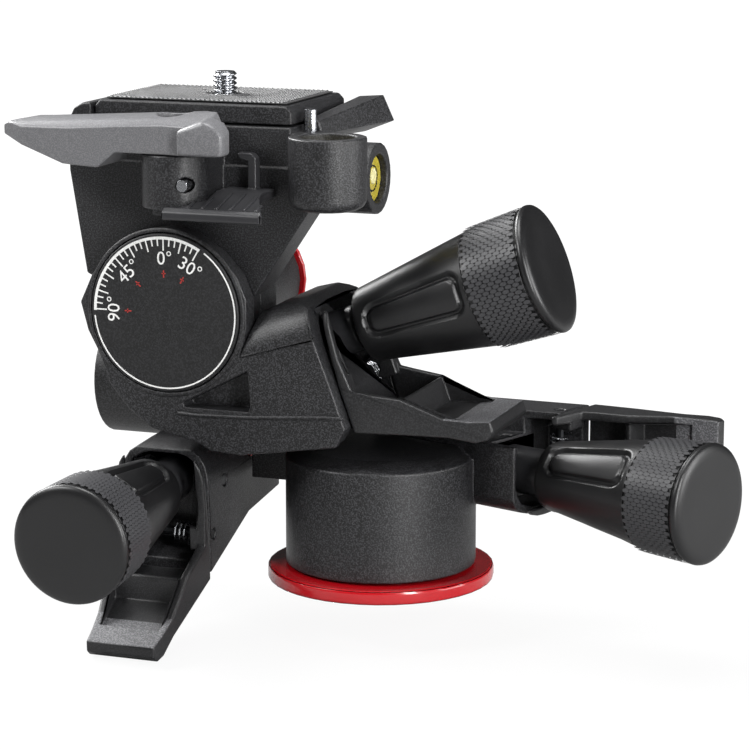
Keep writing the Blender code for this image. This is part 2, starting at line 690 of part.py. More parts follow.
def lever_solid(sides, tip_sides, relief=None):
    """A channel lever: floor, two walls, a cross rib, a thick tip and two ears on its pin."""
    low, high = sides
    body = rounded_top(prism(scaled(LEVER_SHARES, LEVER_SPAN), low, high), sides)
    walls = (low + LEVER_WALL, high - LEVER_WALL)
    body = less(body, prism(scaled(CHANNEL_SHARES, LEVER_SPAN), *walls))
    rib = box(
        (LEVER_RIB, walls[0] - OVERLAP, -LEVER_RIB_FOOT),
        (LEVER_RIB + LEVER_RIB_THICKNESS, walls[1] + OVERLAP, -LEVER_RIB_DROP),
    )
    body = plus(body, rib)
    pin_at = (LEVER_PIN_OUT, -LEVER_PIN_DROP)
    for side, wall in zip((-1, 1), walls):
        near = wall - side * OVERLAP
        far = near - side * LEVER_EAR_WIDTH
        edges = sorted((near, far))
        eye = rod(*edges, LEVER_EAR_RADIUS, "Y", pin_at, PIN_STEPS)
        bar = box(
            (LEVER_PIN_OUT, edges[0], -LEVER_PIN_DROP - LEVER_EAR_RADIUS),
            (MOUTH + LEVER_EAR_RADIUS, edges[1], -LEVER_PIN_DROP + LEVER_EAR_RADIUS),
        )
        edges = sorted((far, wall + side * OVERLAP))
        foot = box(
            (MOUTH + SLIDE_GAP, edges[0], -LEVER_PIN_DROP - LEVER_EAR_RADIUS),
            (MOUTH + LEVER_EAR_RADIUS, edges[1], -LEVER_PIN_DROP + LEVER_EAR_RADIUS),
        )
        body = plus(body, eye, bar, foot)
    hole = rod(low, high, LEVER_PIN_RADIUS + FIT_GAP, "Y", pin_at, PIN_STEPS)
    body = less(body, hole)
    if relief is not None:
        body = less(body, relief)
    tip_low, tip_high = tip_sides
    for vert in body.verts:
        share = (vert.co.x - LEVER_TAPER_START) / (LEVER_TAPER_END - LEVER_TAPER_START)
        share = min(max(share, 0), 1)
        across = (vert.co.y - low) / (high - low)
        tip = tip_low + across * (tip_high - tip_low)
        vert.co.y += share * (tip - vert.co.y)
    return body


def lever_spring(high):
    """A torsion spring coiled round the lever's pin."""
    start = high - LEVER_WALL - LEVER_EAR_WIDTH - SPRING_RADIUS - SPRING_TURNS * SPRING_PITCH
    path = []
    count = SPRING_TURNS * SPRING_STEPS
    for k in range(count + 1):
        turn = 2 * math.pi * k / SPRING_STEPS
        path.append(Vector((
            LEVER_PIN_OUT + SPRING_RADIUS * math.sin(turn),
            start + SPRING_PITCH * k / SPRING_STEPS,
            -LEVER_PIN_DROP - SPRING_RADIUS * math.cos(turn),
        )))
    path.insert(0, path[0] - (path[1] - path[0]).normalized() * SPRING_WIRE * 3)
    path.append(path[-1] + (path[-1] - path[-2]).normalized() * SPRING_WIRE * 3)
    gaps = [(one - two).length for k, one in enumerate(path) for two in path[k + SPRING_STEPS // 2:]]
    print("least gap of the spring to itself:", round((min(gaps) - SPRING_WIRE) / MM, 2), "mm")
    return tube_along(path, SPRING_WIRE / 2)


def tube_along(path, radius):
    """A closed round tube that follows a path."""
    bm = bmesh.new()
    sides = 6
    rings = []
    for k, point in enumerate(path):
        ahead = path[min(k + 1, len(path) - 1)] - path[max(k - 1, 0)]
        ahead.normalize()
        side = ahead.cross(Vector((0, 1, 0))).normalized()
        up = side.cross(ahead)
        turn = [2 * math.pi * n / sides for n in range(sides)]
        rings.append([bm.verts.new(point + radius * (math.cos(t) * side + math.sin(t) * up)) for t in turn])
    for one, two in zip(rings, rings[1:]):
        for n in range(sides):
            m = (n + 1) % sides
            bm.faces.new((one[n], one[m], two[m], two[n]))
    bm.faces.new(rings[0])
    bm.faces.new(rings[-1])
    bmesh.ops.recalc_face_normals(bm, faces=bm.faces[:])
    return bm


def drive_parts(prefix, frame, parent, sizes, paints, pin_top=None, relief=None):
    """Lever, pins, carrier, worm, knob and spring of one drive."""
    sides, tip_sides, pin_ends, neck, length, radius = sizes
    lever_at = (LEVER_PIN_OUT, 0, -LEVER_PIN_DROP)
    cradle_at = (CRADLE_PIVOT, 0, 0)
    place(lever_solid(sides, tip_sides, relief), prefix + "_lever", paints["lever"], parent, frame, lever_at)
    pin = rod(*pin_ends, LEVER_PIN_RADIUS, "Y", (LEVER_PIN_OUT, -LEVER_PIN_DROP), PIN_STEPS)
    place(pin, prefix + "_lever_pin", paints["steel"], parent, frame, lever_at)
    place(lever_spring(sides[1]), prefix + "_lever_spring", paints["steel"], parent, frame, lever_at)
    place(cradle_solid(), prefix + "_worm_carrier", paints["inner"], parent, frame, cradle_at)
    for side, word, reach in ((-1, "low", -pin_ends[0]), (1, "high", pin_top or pin_ends[1])):
        pin = cradle_pin(side, reach)
        place(pin, prefix + "_carrier_pin_" + word, paints["steel"], parent, frame, cradle_at)
    place(worm_shaft(neck), prefix + "_worm", paints["steel"], parent, frame)
    place(knob_solid(neck, length, radius), prefix + "_knob", paints["knob"], parent, frame)


# Base and pan housing
def build_base(paints):
    disc = lathe((
        (0, BASE_RADIUS - BASE_EDGE), (BASE_EDGE, BASE_RADIUS), (BASE_THICKNESS - BASE_EDGE, BASE_RADIUS),
        (BASE_THICKNESS, BASE_RADIUS - BASE_EDGE),
    ), LARGE_STEPS, "Z")
    disc = less(disc, rod(-OVERCUT, BASE_THICKNESS + OVERCUT, SOCKET_RADIUS, "Z"))
    hole = SCREW_RADIUS + FIT_GAP
    recess = SCREW_HEAD_RADIUS + FIT_GAP
    head_top = FIT_GAP + SCREW_HEAD_THICKNESS
    seats = screw_circle((
        (-OVERCUT, recess), (head_top + FIT_GAP, recess), (head_top + FIT_GAP, hole), (OVERCUT, hole),
    ))
    place(less(disc, *seats), "base_disc", paints["red"], None)

    low = BASE_THICKNESS + FIT_GAP
    flange_top = low + SPINDLE_FLANGE_THICKNESS
    wheel_low = PAN_WHEEL_Z - WHEEL_WIDTH / 2
    wheel_high = PAN_WHEEL_Z + WHEEL_WIDTH / 2
    seat = wheel_low - FIT_GAP
    bore = WHEEL_SEAT_RADIUS
    spindle = lathe((
        (low, SPINDLE_FLANGE_RADIUS), (flange_top, SPINDLE_FLANGE_RADIUS), (flange_top, SPINDLE_RADIUS),
        (seat, SPINDLE_RADIUS), (seat, bore), (wheel_high - FIT_GAP, bore),
    ), ROUND_STEPS, "Z")
    spindle = less(spindle, rod(-OVERCUT, SOCKET_DEPTH, SOCKET_RADIUS, "Z"))
    taps = screw_circle(((0, hole), (flange_top + OVERCUT, hole)))
    place(less(spindle, *taps), "pan_spindle", paints["inner"], None)

    screws = screw_circle((
        (FIT_GAP, SCREW_HEAD_RADIUS), (head_top, SCREW_HEAD_RADIUS), (head_top, SCREW_RADIUS),
        (BASE_SCREW_LENGTH, SCREW_RADIUS),
    ))
    for k, screw in enumerate(screws, 1):
        place(screw, "base_screw_" + str(k), paints["steel"], None)

    frame = pan_frame()
    place(worm_wheel(bore + FIT_GAP), "pan_wheel", paints["bronze"], None, frame @ wheel_shift())


def screw_circle(profile):
    """Three like turned solids round the pan axis."""
    solids = []
    for k in range(3):
        angle = 2 * math.pi * (k + 0.25) / 3
        at = (BASE_SCREW_CIRCLE * math.cos(angle), BASE_SCREW_CIRCLE * math.sin(angle))
        solids.append(lathe(profile, PIN_STEPS, "Z", at))
    return solids


def wheel_shift():
    return Matrix.Translation((0, 0, CENTRE_DISTANCE))


def pan_frame():
    c = math.cos(DRIVE_TILT)
    s = math.sin(DRIVE_TILT)
    return drive_frame((0, 0, PAN_WHEEL_Z), (c, -s, 0), (-s, -c, 0))


def lateral_frame():
    centre = (LATERAL_WHEEL_X, LATERAL_AXIS_Y, LATERAL_AXIS_Z)
    c = math.cos(LATERAL_DIP)
    s = math.sin(LATERAL_DIP)
    return drive_frame(centre, (0, -c, -s), (0, -s, c))


def front_frame():
    c = math.cos(DRIVE_TILT)
    s = math.sin(DRIVE_TILT)
    return drive_frame((FRONT_AXIS_X, FRONT_WHEEL_Y, FRONT_AXIS_Z), (c, 0, s), (-s, 0, c))


def build_pan_housing(paints, pivot):
    low = BASE_THICKNESS + HOUSING_LIFT
    shell = lathe((
        (low, HOUSING_RADIUS), (HOUSING_TOP - HOUSING_RIM_DROP, HOUSING_RADIUS),
        (HOUSING_TOP, HOUSING_RADIUS - HOUSING_RIM_RUN),
    ), LARGE_STEPS, "Z")
    frame = pan_frame()
    shell = plus(shell, moved(drive_box(SMALL_SIDES), frame))
    roof = box(
        (-HOUSING_RADIUS, -BASE_RADIUS, PAN_BOX_TOP),
        (BODY_SPAN, ARM_BACK + 2 * SLIDE_GAP, BODY_SPAN),
    )
    shell = less(shell, roof)
    neck = box((EAR_LEFT, NECK_FRONT, NECK_LOW), (EAR_LEFT + NECK_LENGTH, NECK_BACK, HOUSING_TOP - FIT_GAP))
    column = box(
        (EAR_LEFT, NECK_FRONT + NECK_FRONT, NECK_LOW),
        (EAR_RIGHT, NECK_BACK, LATERAL_AXIS_Z),
    )
    ear = rod(EAR_LEFT, EAR_RIGHT, EAR_RADIUS, "X", (LATERAL_AXIS_Y, LATERAL_AXIS_Z))
    shell = plus(shell, neck, column, ear)
    cavity = rod(0, HOUSING_TOP - HOUSING_ROOF, HOUSING_CAVITY_RADIUS, "Z")
    axle_hole = rod(
        EAR_LEFT - OVERCUT, EAR_RIGHT + OVERCUT, LATERAL_AXLE_RADIUS + FIT_GAP, "X",
        (LATERAL_AXIS_Y, LATERAL_AXIS_Z),
    )
    low, high = SMALL_SIDES
    cuts = [moved(cut, frame) for cut in drive_cuts(SMALL_SIDES, low - OVERCUT, high + OVERCUT)]
    shell = less(shell, cavity, axle_hole, *cuts)
    place(shell, "pan_housing", paints["casting"], pivot)

    axle = lathe((
        (END_BOSS_LEFT + END_CAP_THICKNESS + SLIDE_GAP, LATERAL_AXLE_RADIUS), (EAR_RIGHT + FIT_GAP, LATERAL_AXLE_RADIUS),
        (EAR_RIGHT + FIT_GAP, AXLE_HEAD_RADIUS), (EAR_RIGHT + FIT_GAP + SCREW_HEAD_THICKNESS, AXLE_HEAD_RADIUS),
    ), ROUND_STEPS, "X", (LATERAL_AXIS_Y, LATERAL_AXIS_Z))
    place(axle, "lateral_axle", paints["steel"], pivot)
    wheel = worm_wheel(LATERAL_AXLE_RADIUS + FIT_GAP)
    place(wheel, "lateral_wheel", paints["bronze"], pivot, lateral_frame() @ wheel_shift())


def build_tilt_body(paints, pivot):
    at_front = (FRONT_AXIS_X, FRONT_AXIS_Z)
    at_lateral = (LATERAL_AXIS_Y, LATERAL_AXIS_Z)
    frame_one = lateral_frame()
    frame_two = front_frame()
    arm = prism(scaled(ARM_SHARES, BODY_SPAN, at_front), FACE_BACK - OVERLAP, ARM_BACK)
    arm = moved(rounded_top(moved(arm, frame_two.inverted()), FRONT_BOX_SIDES, FRONT_BOX_TOP), frame_two)
    shoulder = prism(scaled(SHOULDER_SHARES, BODY_SPAN, at_front), FACE_FRONT, ARM_BACK - OVERLAP)
    shoulder = moved(rounded_top(moved(shoulder, frame_two.inverted()), FRONT_BOX_SIDES, FRONT_BOX_TOP), frame_two)
    face = prism(scaled(FACE_SHARES, BODY_SPAN, at_front), FACE_FRONT, FACE_BACK)
    skirt = box(
        (DRUM_RIGHT, SKIRT_BACK, 0), (MOUTH, 0, LATERAL_AXIS_Z - HOUSING_RIM_RUN - OVERLAP),
    )
    face = less(face, skirt)
    barrel = rod(BRACKET_BACK, BARREL_BACK, BARREL_RADIUS, "Y", at_front, LARGE_STEPS)
    boss = rod(BARREL_BACK - OVERLAP, REAR_BOSS_BACK, REAR_BOSS_RADIUS, "Y", at_front)
    drum = rod(DRUM_LEFT, DRUM_RIGHT, DRUM_RADIUS, "X", at_lateral, LARGE_STEPS)
    web = box((DRUM_LEFT + OVERLAP, BRACKET_BACK + SLIDE_GAP, WEB_LOW), (DRUM_RIGHT - OVERLAP, NECK_BACK, WEB_HIGH))
    drive = moved(drive_box(SMALL_SIDES), frame_one)
    body = plus(arm, barrel, boss, drum, web, drive)
    swing = rod(FACE_BACK, BRACKET_BACK + FIT_GAP, BRACKET_SWING_RADIUS, "Y", at_front, LARGE_STEPS)
    notch = rod(DRUM_RIGHT - OVERLAP, EAR_NOTCH_RIGHT, EAR_NOTCH_RADIUS, "X", at_lateral)
    body = less(body, swing, notch)
    body = plus(body, face, shoulder)
    wheel_high = FRONT_WHEEL_Y + WHEEL_WIDTH / 2 + SLIDE_GAP
    front_room = rod(BRACKET_BACK, wheel_high, WHEEL_CAVITY_RADIUS, "Y", at_front)
    front_bore = rod(FRONT_WHEEL_Y, REAR_BOSS_BACK + OVERCUT, FRONT_AXLE_RADIUS + FIT_GAP, "Y", at_front)
    lateral_room = rod(DRUM_LEFT - OVERCUT, DRUM_WALL, WHEEL_CAVITY_RADIUS, "X", at_lateral)
    lateral_bore = rod(LATERAL_WHEEL_X, DRUM_RIGHT + OVERLAP, LATERAL_AXLE_RADIUS + FIT_GAP, "X", at_lateral)
    end_seat = rod(END_BOSS_LEFT, DRUM_LEFT, END_BOSS_RADIUS + FIT_GAP, "X", at_lateral, LARGE_STEPS)
    low, high = SMALL_SIDES
    cuts = [moved(cut, frame_one) for cut in drive_cuts(SMALL_SIDES, low - OVERCUT, high + OVERCUT)]
    low, high = FRONT_SIDES
    cuts += [moved(cut, frame_two) for cut in drive_cuts(FRONT_SIDES, low + LEVER_WALL, high + OVERCUT)]
    dial_seat = rod(FACE_FRONT - OVERCUT, FACE_FRONT + DIAL_RECESS, DIAL_RADIUS + FIT_GAP, "Y", at_front)
    hole = prism(scaled(POCKET_HOLE_SHARES, BODY_SPAN, at_front), FACE_FRONT - OVERCUT, FACE_BACK + OVERLAP)
    body = less(body, front_room, front_bore, lateral_room, lateral_bore, end_seat, dial_seat, hole, *cuts)
    place(body, "tilt_body", paints["casting"], pivot)

    plug_right = LATERAL_WHEEL_X - WHEEL_WIDTH / 2 - SLIDE_GAP
    housing = lathe((
        (END_BOSS_LEFT, END_BOSS_RADIUS), (DRUM_LEFT - FIT_GAP, END_BOSS_RADIUS),
        (DRUM_LEFT - FIT_GAP, WHEEL_CAVITY_RADIUS - FIT_GAP), (plug_right, WHEEL_CAVITY_RADIUS - FIT_GAP),
    ), LARGE_STEPS, "X", at_lateral)
    bore = rod(END_BOSS_LEFT - OVERCUT, DRUM_RIGHT, LATERAL_AXLE_RADIUS + FIT_GAP, "X", at_lateral)
    seat = rod(END_BOSS_LEFT - OVERCUT, END_BOSS_LEFT + END_CAP_THICKNESS, END_CAP_RADIUS, "X", at_lateral)
    place(less(housing, bore, seat), "end_housing", paints["casting"], pivot)

    cap = rod(END_BOSS_LEFT, END_BOSS_LEFT + END_CAP_THICKNESS - FIT_GAP, END_CAP_RADIUS - FIT_GAP, "X", at_lateral)
    place(cap, "end_cap", paints["plastic"], pivot)
    red = ring(
        DRUM_RIGHT + FIT_GAP, DRUM_RIGHT + FIT_GAP + RED_RING_WIDTH, RED_RING_RADIUS, EAR_NOTCH_RADIUS + FIT_GAP, "X",
        at_lateral, LARGE_STEPS,
    )
    gap = box(
        (-BODY_SPAN, -BODY_SPAN, FRONT_AXIS_Z + ARM_SHARES[1][1] * BODY_SPAN - SLIDE_GAP),
        (0, ARM_BACK + SLIDE_GAP, BODY_SPAN),
    )
    boss_gap = rod(BARREL_BACK, REAR_BOSS_BACK + OVERCUT, REAR_BOSS_RADIUS + FIT_GAP, "Y", at_front)
    place(less(red, gap, boss_gap), "lateral_ring", paints["red"], pivot)
    rear = ring(
        REAR_BOSS_BACK + FIT_GAP, REAR_BOSS_BACK + FIT_GAP + RED_RING_WIDTH, REAR_RING_RADIUS,
        AXLE_HEAD_RADIUS + FIT_GAP, "Y", at_front,
    )
    place(rear, "front_ring", paints["red"], pivot)
    dial_low = FACE_FRONT + DIAL_RECESS - FIT_GAP - DIAL_THICKNESS
    dial = rod(dial_low, dial_low + DIAL_THICKNESS, DIAL_RADIUS, "Y", at_front, LARGE_STEPS)
    place(dial, "tilt_dial", paints["plastic"], pivot)


def build_bracket(paints, pivot):
    at_front = (FRONT_AXIS_X, FRONT_AXIS_Z)
    wedge = prism(scaled(BRACKET_SHARES, BODY_SPAN, at_front), BRACKET_FRONT, BRACKET_BACK)
    holder = box(
        (HOLDER_LEFT + JAW_SPAN - OVERLAP, HOLDER_FRONT, HOLDER_LOW), (HOLDER_RIGHT, HOLDER_BACK, HOLDER_HIGH),
    )
    jaw_side = scaled(JAW_SHARES, JAW_SPAN, (HOLDER_LEFT, HOLDER_HIGH))
    jaw = prism([(x, max(z, HOLDER_LOW)) for x, z in jaw_side], HOLDER_FRONT, HOLDER_BACK)
    step = box((HOLDER_RIGHT - OVERLAP, HOLDER_FRONT, HOLDER_LOW), (STEP_RIGHT, STEP_BACK, STEP_HIGH))
    pointer = prism(scaled(POINTER_SHARES, BODY_SPAN, at_front), POINTER_FRONT, BRACKET_FRONT + OVERLAP)
    eye = lathe((
        (EYE_LOW, EYE_RADIUS - EYE_ROUND), (EYE_LOW + EYE_ROUND / 3, EYE_RADIUS - EYE_ROUND / 3),
        (EYE_LOW + EYE_ROUND, EYE_RADIUS), (EYE_HIGH, EYE_RADIUS),
    ), ROUND_STEPS, "Z", (EYE_X, EYE_Y))
    tube = rod(TUBE_LEFT, TUBE_RIGHT, TUBE_RADIUS, "X", (TUBE_Y, TUBE_Z))
    post = rod(LOCK_POST_LOW, LOCK_LOW - FIT_GAP, LOCK_POST_RADIUS, "Z", (LOCK_X, LOCK_Y))
    web = box(
        (LOCK_X - LOCK_POST_RADIUS, LOCK_Y, LOCK_POST_LOW),
        (LOCK_X + LOCK_POST_RADIUS, HOLDER_FRONT, LOCK_LOW - FIT_GAP),
    )
    body = plus(wedge, holder, jaw, step, eye, tube, post, web, pointer)
    axle_bore = rod(BRACKET_FRONT + AXLE_HEAD_THICKNESS, 0, FRONT_AXLE_RADIUS + FIT_GAP, "Y", at_front)
    eye_room = rod(EYE_HIGH - EYE_VIAL_DEPTH, EYE_HIGH + OVERCUT, EYE_VIAL_RADIUS + FIT_GAP, "Z", (EYE_X, EYE_Y))
    tube_room = rod(
        TUBE_RIGHT - TUBE_VIAL_LENGTH, TUBE_RIGHT + OVERCUT, TUBE_VIAL_RADIUS + FIT_GAP, "X", (TUBE_Y, TUBE_Z),
    )
    lock_bore = rod(LOCK_POST_LOW + SCREW_HEAD_RADIUS, BODY_SPAN + BODY_SPAN, LOCK_SCREW_RADIUS + FIT_GAP, "Z",
                    (LOCK_X, LOCK_Y))
    stop_hole = rod(
        CATCH_TAIL_BACK, LOCK_Y - SCREW_HEAD_RADIUS, CATCH_PIN_RADIUS + FIT_GAP, "Y", (STOP_PIN_X, STOP_PIN_Z),
    )
    spring_hole = rod(
        STEP_HIGH - SPRING_PIN_SINK - FIT_GAP, BODY_SPAN + BODY_SPAN, SPRING_PIN_RADIUS + FIT_GAP, "Z",
        (SPRING_PIN_X, SPRING_PIN_Y),
    )
    body = less(body, axle_bore, eye_room, tube_room, lock_bore, stop_hole, spring_hole)
    place(body, "plate_bracket", paints["casting"], pivot)

    axle = lathe((
        (BRACKET_FRONT + AXLE_HEAD_THICKNESS + FIT_GAP, FRONT_AXLE_RADIUS),
        (REAR_BOSS_BACK + FIT_GAP, FRONT_AXLE_RADIUS), (REAR_BOSS_BACK + FIT_GAP, AXLE_HEAD_RADIUS),
        (REAR_BOSS_BACK + FIT_GAP + AXLE_HEAD_THICKNESS, AXLE_HEAD_RADIUS),
    ), ROUND_STEPS, "Y", at_front)
    place(axle, "front_axle", paints["steel"], pivot)
    wheel = worm_wheel(FRONT_AXLE_RADIUS + FIT_GAP)
    place(wheel, "front_wheel", paints["bronze"], pivot, front_frame() @ wheel_shift())

    eye_low = EYE_HIGH - EYE_VIAL_DEPTH + FIT_GAP
    vial = rod(eye_low, EYE_HIGH - EYE_VIAL_SINK, EYE_VIAL_RADIUS, "Z", (EYE_X, EYE_Y))
    place(vial, "eye_vial", paints["vial"], pivot)
    tube_end = TUBE_RIGHT - TUBE_VIAL_SINK
    vial = rod(TUBE_RIGHT - TUBE_VIAL_LENGTH + FIT_GAP, tube_end, TUBE_VIAL_RADIUS, "X", (TUBE_Y, TUBE_Z))
    place(vial, "tube_vial", paints["vial"], pivot)
    at_wing = (WING_LEFT, WING_LOW)
    wing = prism(scaled(WING_BACK_SHARES, WING_SPAN, at_wing), WING_FRONT, WING_BACK)
    near = [vert for vert in wing.verts if vert.co.y < (WING_FRONT + WING_BACK) / 2]
    for vert, (x, z) in zip(near, scaled(WING_FRONT_SHARES, WING_SPAN, at_wing)):
        vert.co = (x, WING_FRONT, z)
    place(wing, "plate_jaw", paints["casting"], pivot)
    pin = rod(STEP_HIGH - SPRING_PIN_SINK, PLATE_HIGH - PAD_THICKNESS, SPRING_PIN_RADIUS, "Z",
              (SPRING_PIN_X, SPRING_PIN_Y), PIN_STEPS)
    place(pin, "plate_spring_pin", paints["steel"], pivot)
    pin = rod(CATCH_TAIL_BACK + SLIDE_GAP + CATCH_SLIDE, LOCK_Y - SCREW_HEAD_RADIUS - FIT_GAP, CATCH_PIN_RADIUS, "Y",
              (STOP_PIN_X, STOP_PIN_Z), PIN_STEPS)
    place(pin, "catch_stop_pin", paints["steel"], pivot)


def build_lock(paints, pivot):
    hub = (LOCK_X, LOCK_Y)
    seat = LOCK_HUB_HIGH - LOCK_SEAT_DEPTH
    plan = prism(scaled(LOCK_SHARES, LOCK_SPAN, hub), LOCK_LOW - LOCK_SPAN, LOCK_LOW + LOCK_SPAN, "Z")
    side = prism(scaled(LOCK_SIDE_SHARES, LOCK_SPAN, (LOCK_X, LOCK_LOW)), -LOCK_SPAN, LOCK_SPAN)
    across = scaled(LOCK_CROWN_SHARES, LOCK_SPAN, (LOCK_Y, LOCK_LOW))
    crown = prism(across, LOCK_X - LOCK_SPAN, LOCK_X + LOCK_SPAN, "X")
    for vert in crown.verts:
        vert.co.z += LOCK_SLOPE * (vert.co.x - LOCK_X)
    lever = combine(combine(plan, side, "INTERSECT"), crown, "INTERSECT")
    bore = rod(LOCK_LOW - OVERCUT, LOCK_HUB_HIGH + OVERCUT, LOCK_SCREW_RADIUS + FIT_GAP, "Z", hub)
    recess = rod(seat, LOCK_HUB_HIGH + OVERCUT, LOCK_SCREW_HEAD_RADIUS + FIT_GAP, "Z", hub)
    place(less(lever, bore, recess), "lock_lever", paints["grey"], pivot, None, (LOCK_X, LOCK_Y, LOCK_LOW))
    low = LOCK_POST_LOW + SCREW_HEAD_RADIUS + FIT_GAP
    screw = lathe((
        (low, LOCK_SCREW_RADIUS), (seat + FIT_GAP, LOCK_SCREW_RADIUS), (seat + FIT_GAP, LOCK_SCREW_HEAD_RADIUS),
        (seat + FIT_GAP + SCREW_HEAD_THICKNESS, LOCK_SCREW_HEAD_RADIUS),
    ), ROUND_STEPS, "Z", hub)
    place(screw, "lock_screw", paints["steel"], pivot)

    plan = prism(scaled(CATCH_PLAN_SHARES, CATCH_SPAN, (CATCH_X, CATCH_FRONT)), LOCK_POST_LOW - CATCH_SPAN,
                 LOCK_POST_LOW + CATCH_SPAN, "Z")
    side = prism(scaled(CATCH_SIDE_SHARES, CATCH_SPAN, (CATCH_FRONT, CATCH_LOW)), -BODY_SPAN, BODY_SPAN, "X")
    post = prism(scaled(CATCH_POST_SHARES, CATCH_SPAN, (CATCH_X, CATCH_LOW)), CATCH_BACK - CATCH_POST_THICKNESS,
                 CATCH_BACK)
    catch = plus(combine(plan, side, "INTERSECT"), post)
    place(catch, "safety_catch", paints["plastic"], pivot, None, (CATCH_X, CATCH_FRONT, CATCH_LOW))


def build_plate(paints, pivot):
    dovetail = ((PLATE_LEFT, PLATE_LOW), (PLATE_RIGHT, PLATE_LOW), (PLATE_RIGHT, PLATE_HIGH - PLATE_LIP),
                (PLATE_RIGHT - PLATE_LIP, PLATE_HIGH), (PLATE_LEFT + PLATE_LIP, PLATE_HIGH),
                (PLATE_LEFT, PLATE_HIGH - PLATE_LIP))
    plate = prism(dovetail, PLATE_FRONT, PLATE_BACK)
    at = (PLATE_SCREW_X, PLATE_SCREW_Y)
    head_top = PLATE_LOW + CAMERA_SCREW_HEAD_THICKNESS
    bore = rod(PLATE_LOW - OVERCUT, PLATE_HIGH + OVERCUT, CAMERA_SCREW_RADIUS + FIT_GAP, "Z", at)
    recess = rod(PLATE_LOW - OVERCUT, head_top + FIT_GAP, CAMERA_SCREW_HEAD_RADIUS + FIT_GAP, "Z", at)
    place(less(plate, bore, recess), "camera_plate", paints["casting"], pivot, None, (*at, PLATE_LOW))
    pad = box(
        (PLATE_LEFT + PAD_MARGIN, PLATE_FRONT + PAD_MARGIN, PLATE_HIGH + FIT_GAP),
        (PLATE_RIGHT - PAD_MARGIN, PLATE_BACK - PAD_MARGIN, PLATE_HIGH + PAD_THICKNESS),
    )
    pad = less(pad, rod(PLATE_HIGH - OVERCUT, PLATE_HIGH + OVERCUT, CAMERA_SCREW_RADIUS + SLIDE_GAP, "Z", at))
    place(pad, "plate_pad", paints["rubber"], pivot, None, (*at, PLATE_LOW))
    screw = lathe((
        (PLATE_LOW, CAMERA_SCREW_HEAD_RADIUS), (head_top, CAMERA_SCREW_HEAD_RADIUS), (head_top, CAMERA_SCREW_RADIUS),
        (PLATE_HIGH + PAD_THICKNESS + CAMERA_SCREW_HEIGHT, CAMERA_SCREW_RADIUS),
    ), ROUND_STEPS, "Z", at)
    place(screw, "camera_screw", paints["steel"], pivot, None, (*at, PLATE_LOW))


def main():
    clear_scene()
    paints = {
        "casting": black_casting("black_casting"),
        "grey": grey_casting("grey_casting"),
        "lever": black_casting("lever_casting"),
        "inner": grey_casting("inner_casting"),
        "knob": black_plastic("knob_plastic"),
        "plastic": black_plastic("black_plastic"),
        "red": red_enamel("red_enamel"),
        "steel": steel("bright_steel"),
        "bronze": bronze("gear_bronze"),
        "rubber": rubber("pad_rubber"),
        "vial": vial_glass("vial_yellow"),
    }
    pan = pivot_at("pan_axis", 0, 0, PAN_WHEEL_Z)
    lateral = pivot_at("lateral_axis", LATERAL_WHEEL_X, LATERAL_AXIS_Y, LATERAL_AXIS_Z)
    front = pivot_at("front_axis", FRONT_AXIS_X, FRONT_WHEEL_Y, FRONT_AXIS_Z)
    build_base(paints)
    build_pan_housing(paints, pan)
    build_tilt_body(paints, lateral)
    build_bracket(paints, front)
    build_lock(paints, front)
    build_plate(paints, front)
    small_pin = (SMALL_SIDES[0] + FIT_GAP, SMALL_SIDES[1] - FIT_GAP)
    large_pin = (FRONT_SIDES[0] + LEVER_WALL + FIT_GAP, FRONT_SIDES[1] - LEVER_WALL - FIT_GAP)
    small = (SMALL_SIDES, SMALL_TIP_SIDES, small_pin, SMALL_NECK, SMALL_KNOB_LENGTH, SMALL_KNOB_RADIUS)
    large = (FRONT_SIDES, FRONT_TIP_SIDES, large_pin, FRONT_NECK, FRONT_KNOB_LENGTH, FRONT_KNOB_RADIUS)
    frame = pan_frame()
    relief = box((0, -BODY_SPAN, PAN_BOX_TOP), (PAN_RELIEF_RIGHT, PAN_RELIEF_BACK, BODY_SPAN))
    pin_top = PAN_BOX_TOP - PAN_WHEEL_Z - FIT_GAP
    drive_parts("pan", frame, pan, small, paints, pin_top, moved(relief, frame.inverted()))
    drive_parts("lateral", lateral_frame(), lateral, small, paints)
    drive_parts("front", front_frame(), lateral, large, paints)


if __name__ == "__main__":
    main()
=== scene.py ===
"""Looks for a three-way geared head: knobs, levers, castings, dial, levels and camera plate.

The file is an add-on run as a script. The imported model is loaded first, so the sizes
that follow it come from its nodes and joints. Everything is in metres, +Z up.
"""
import json
import math

import bmesh
import bpy
from bpy.props import FloatProperty, FloatVectorProperty, IntProperty, PointerProperty
from mathutils import Matrix, Vector

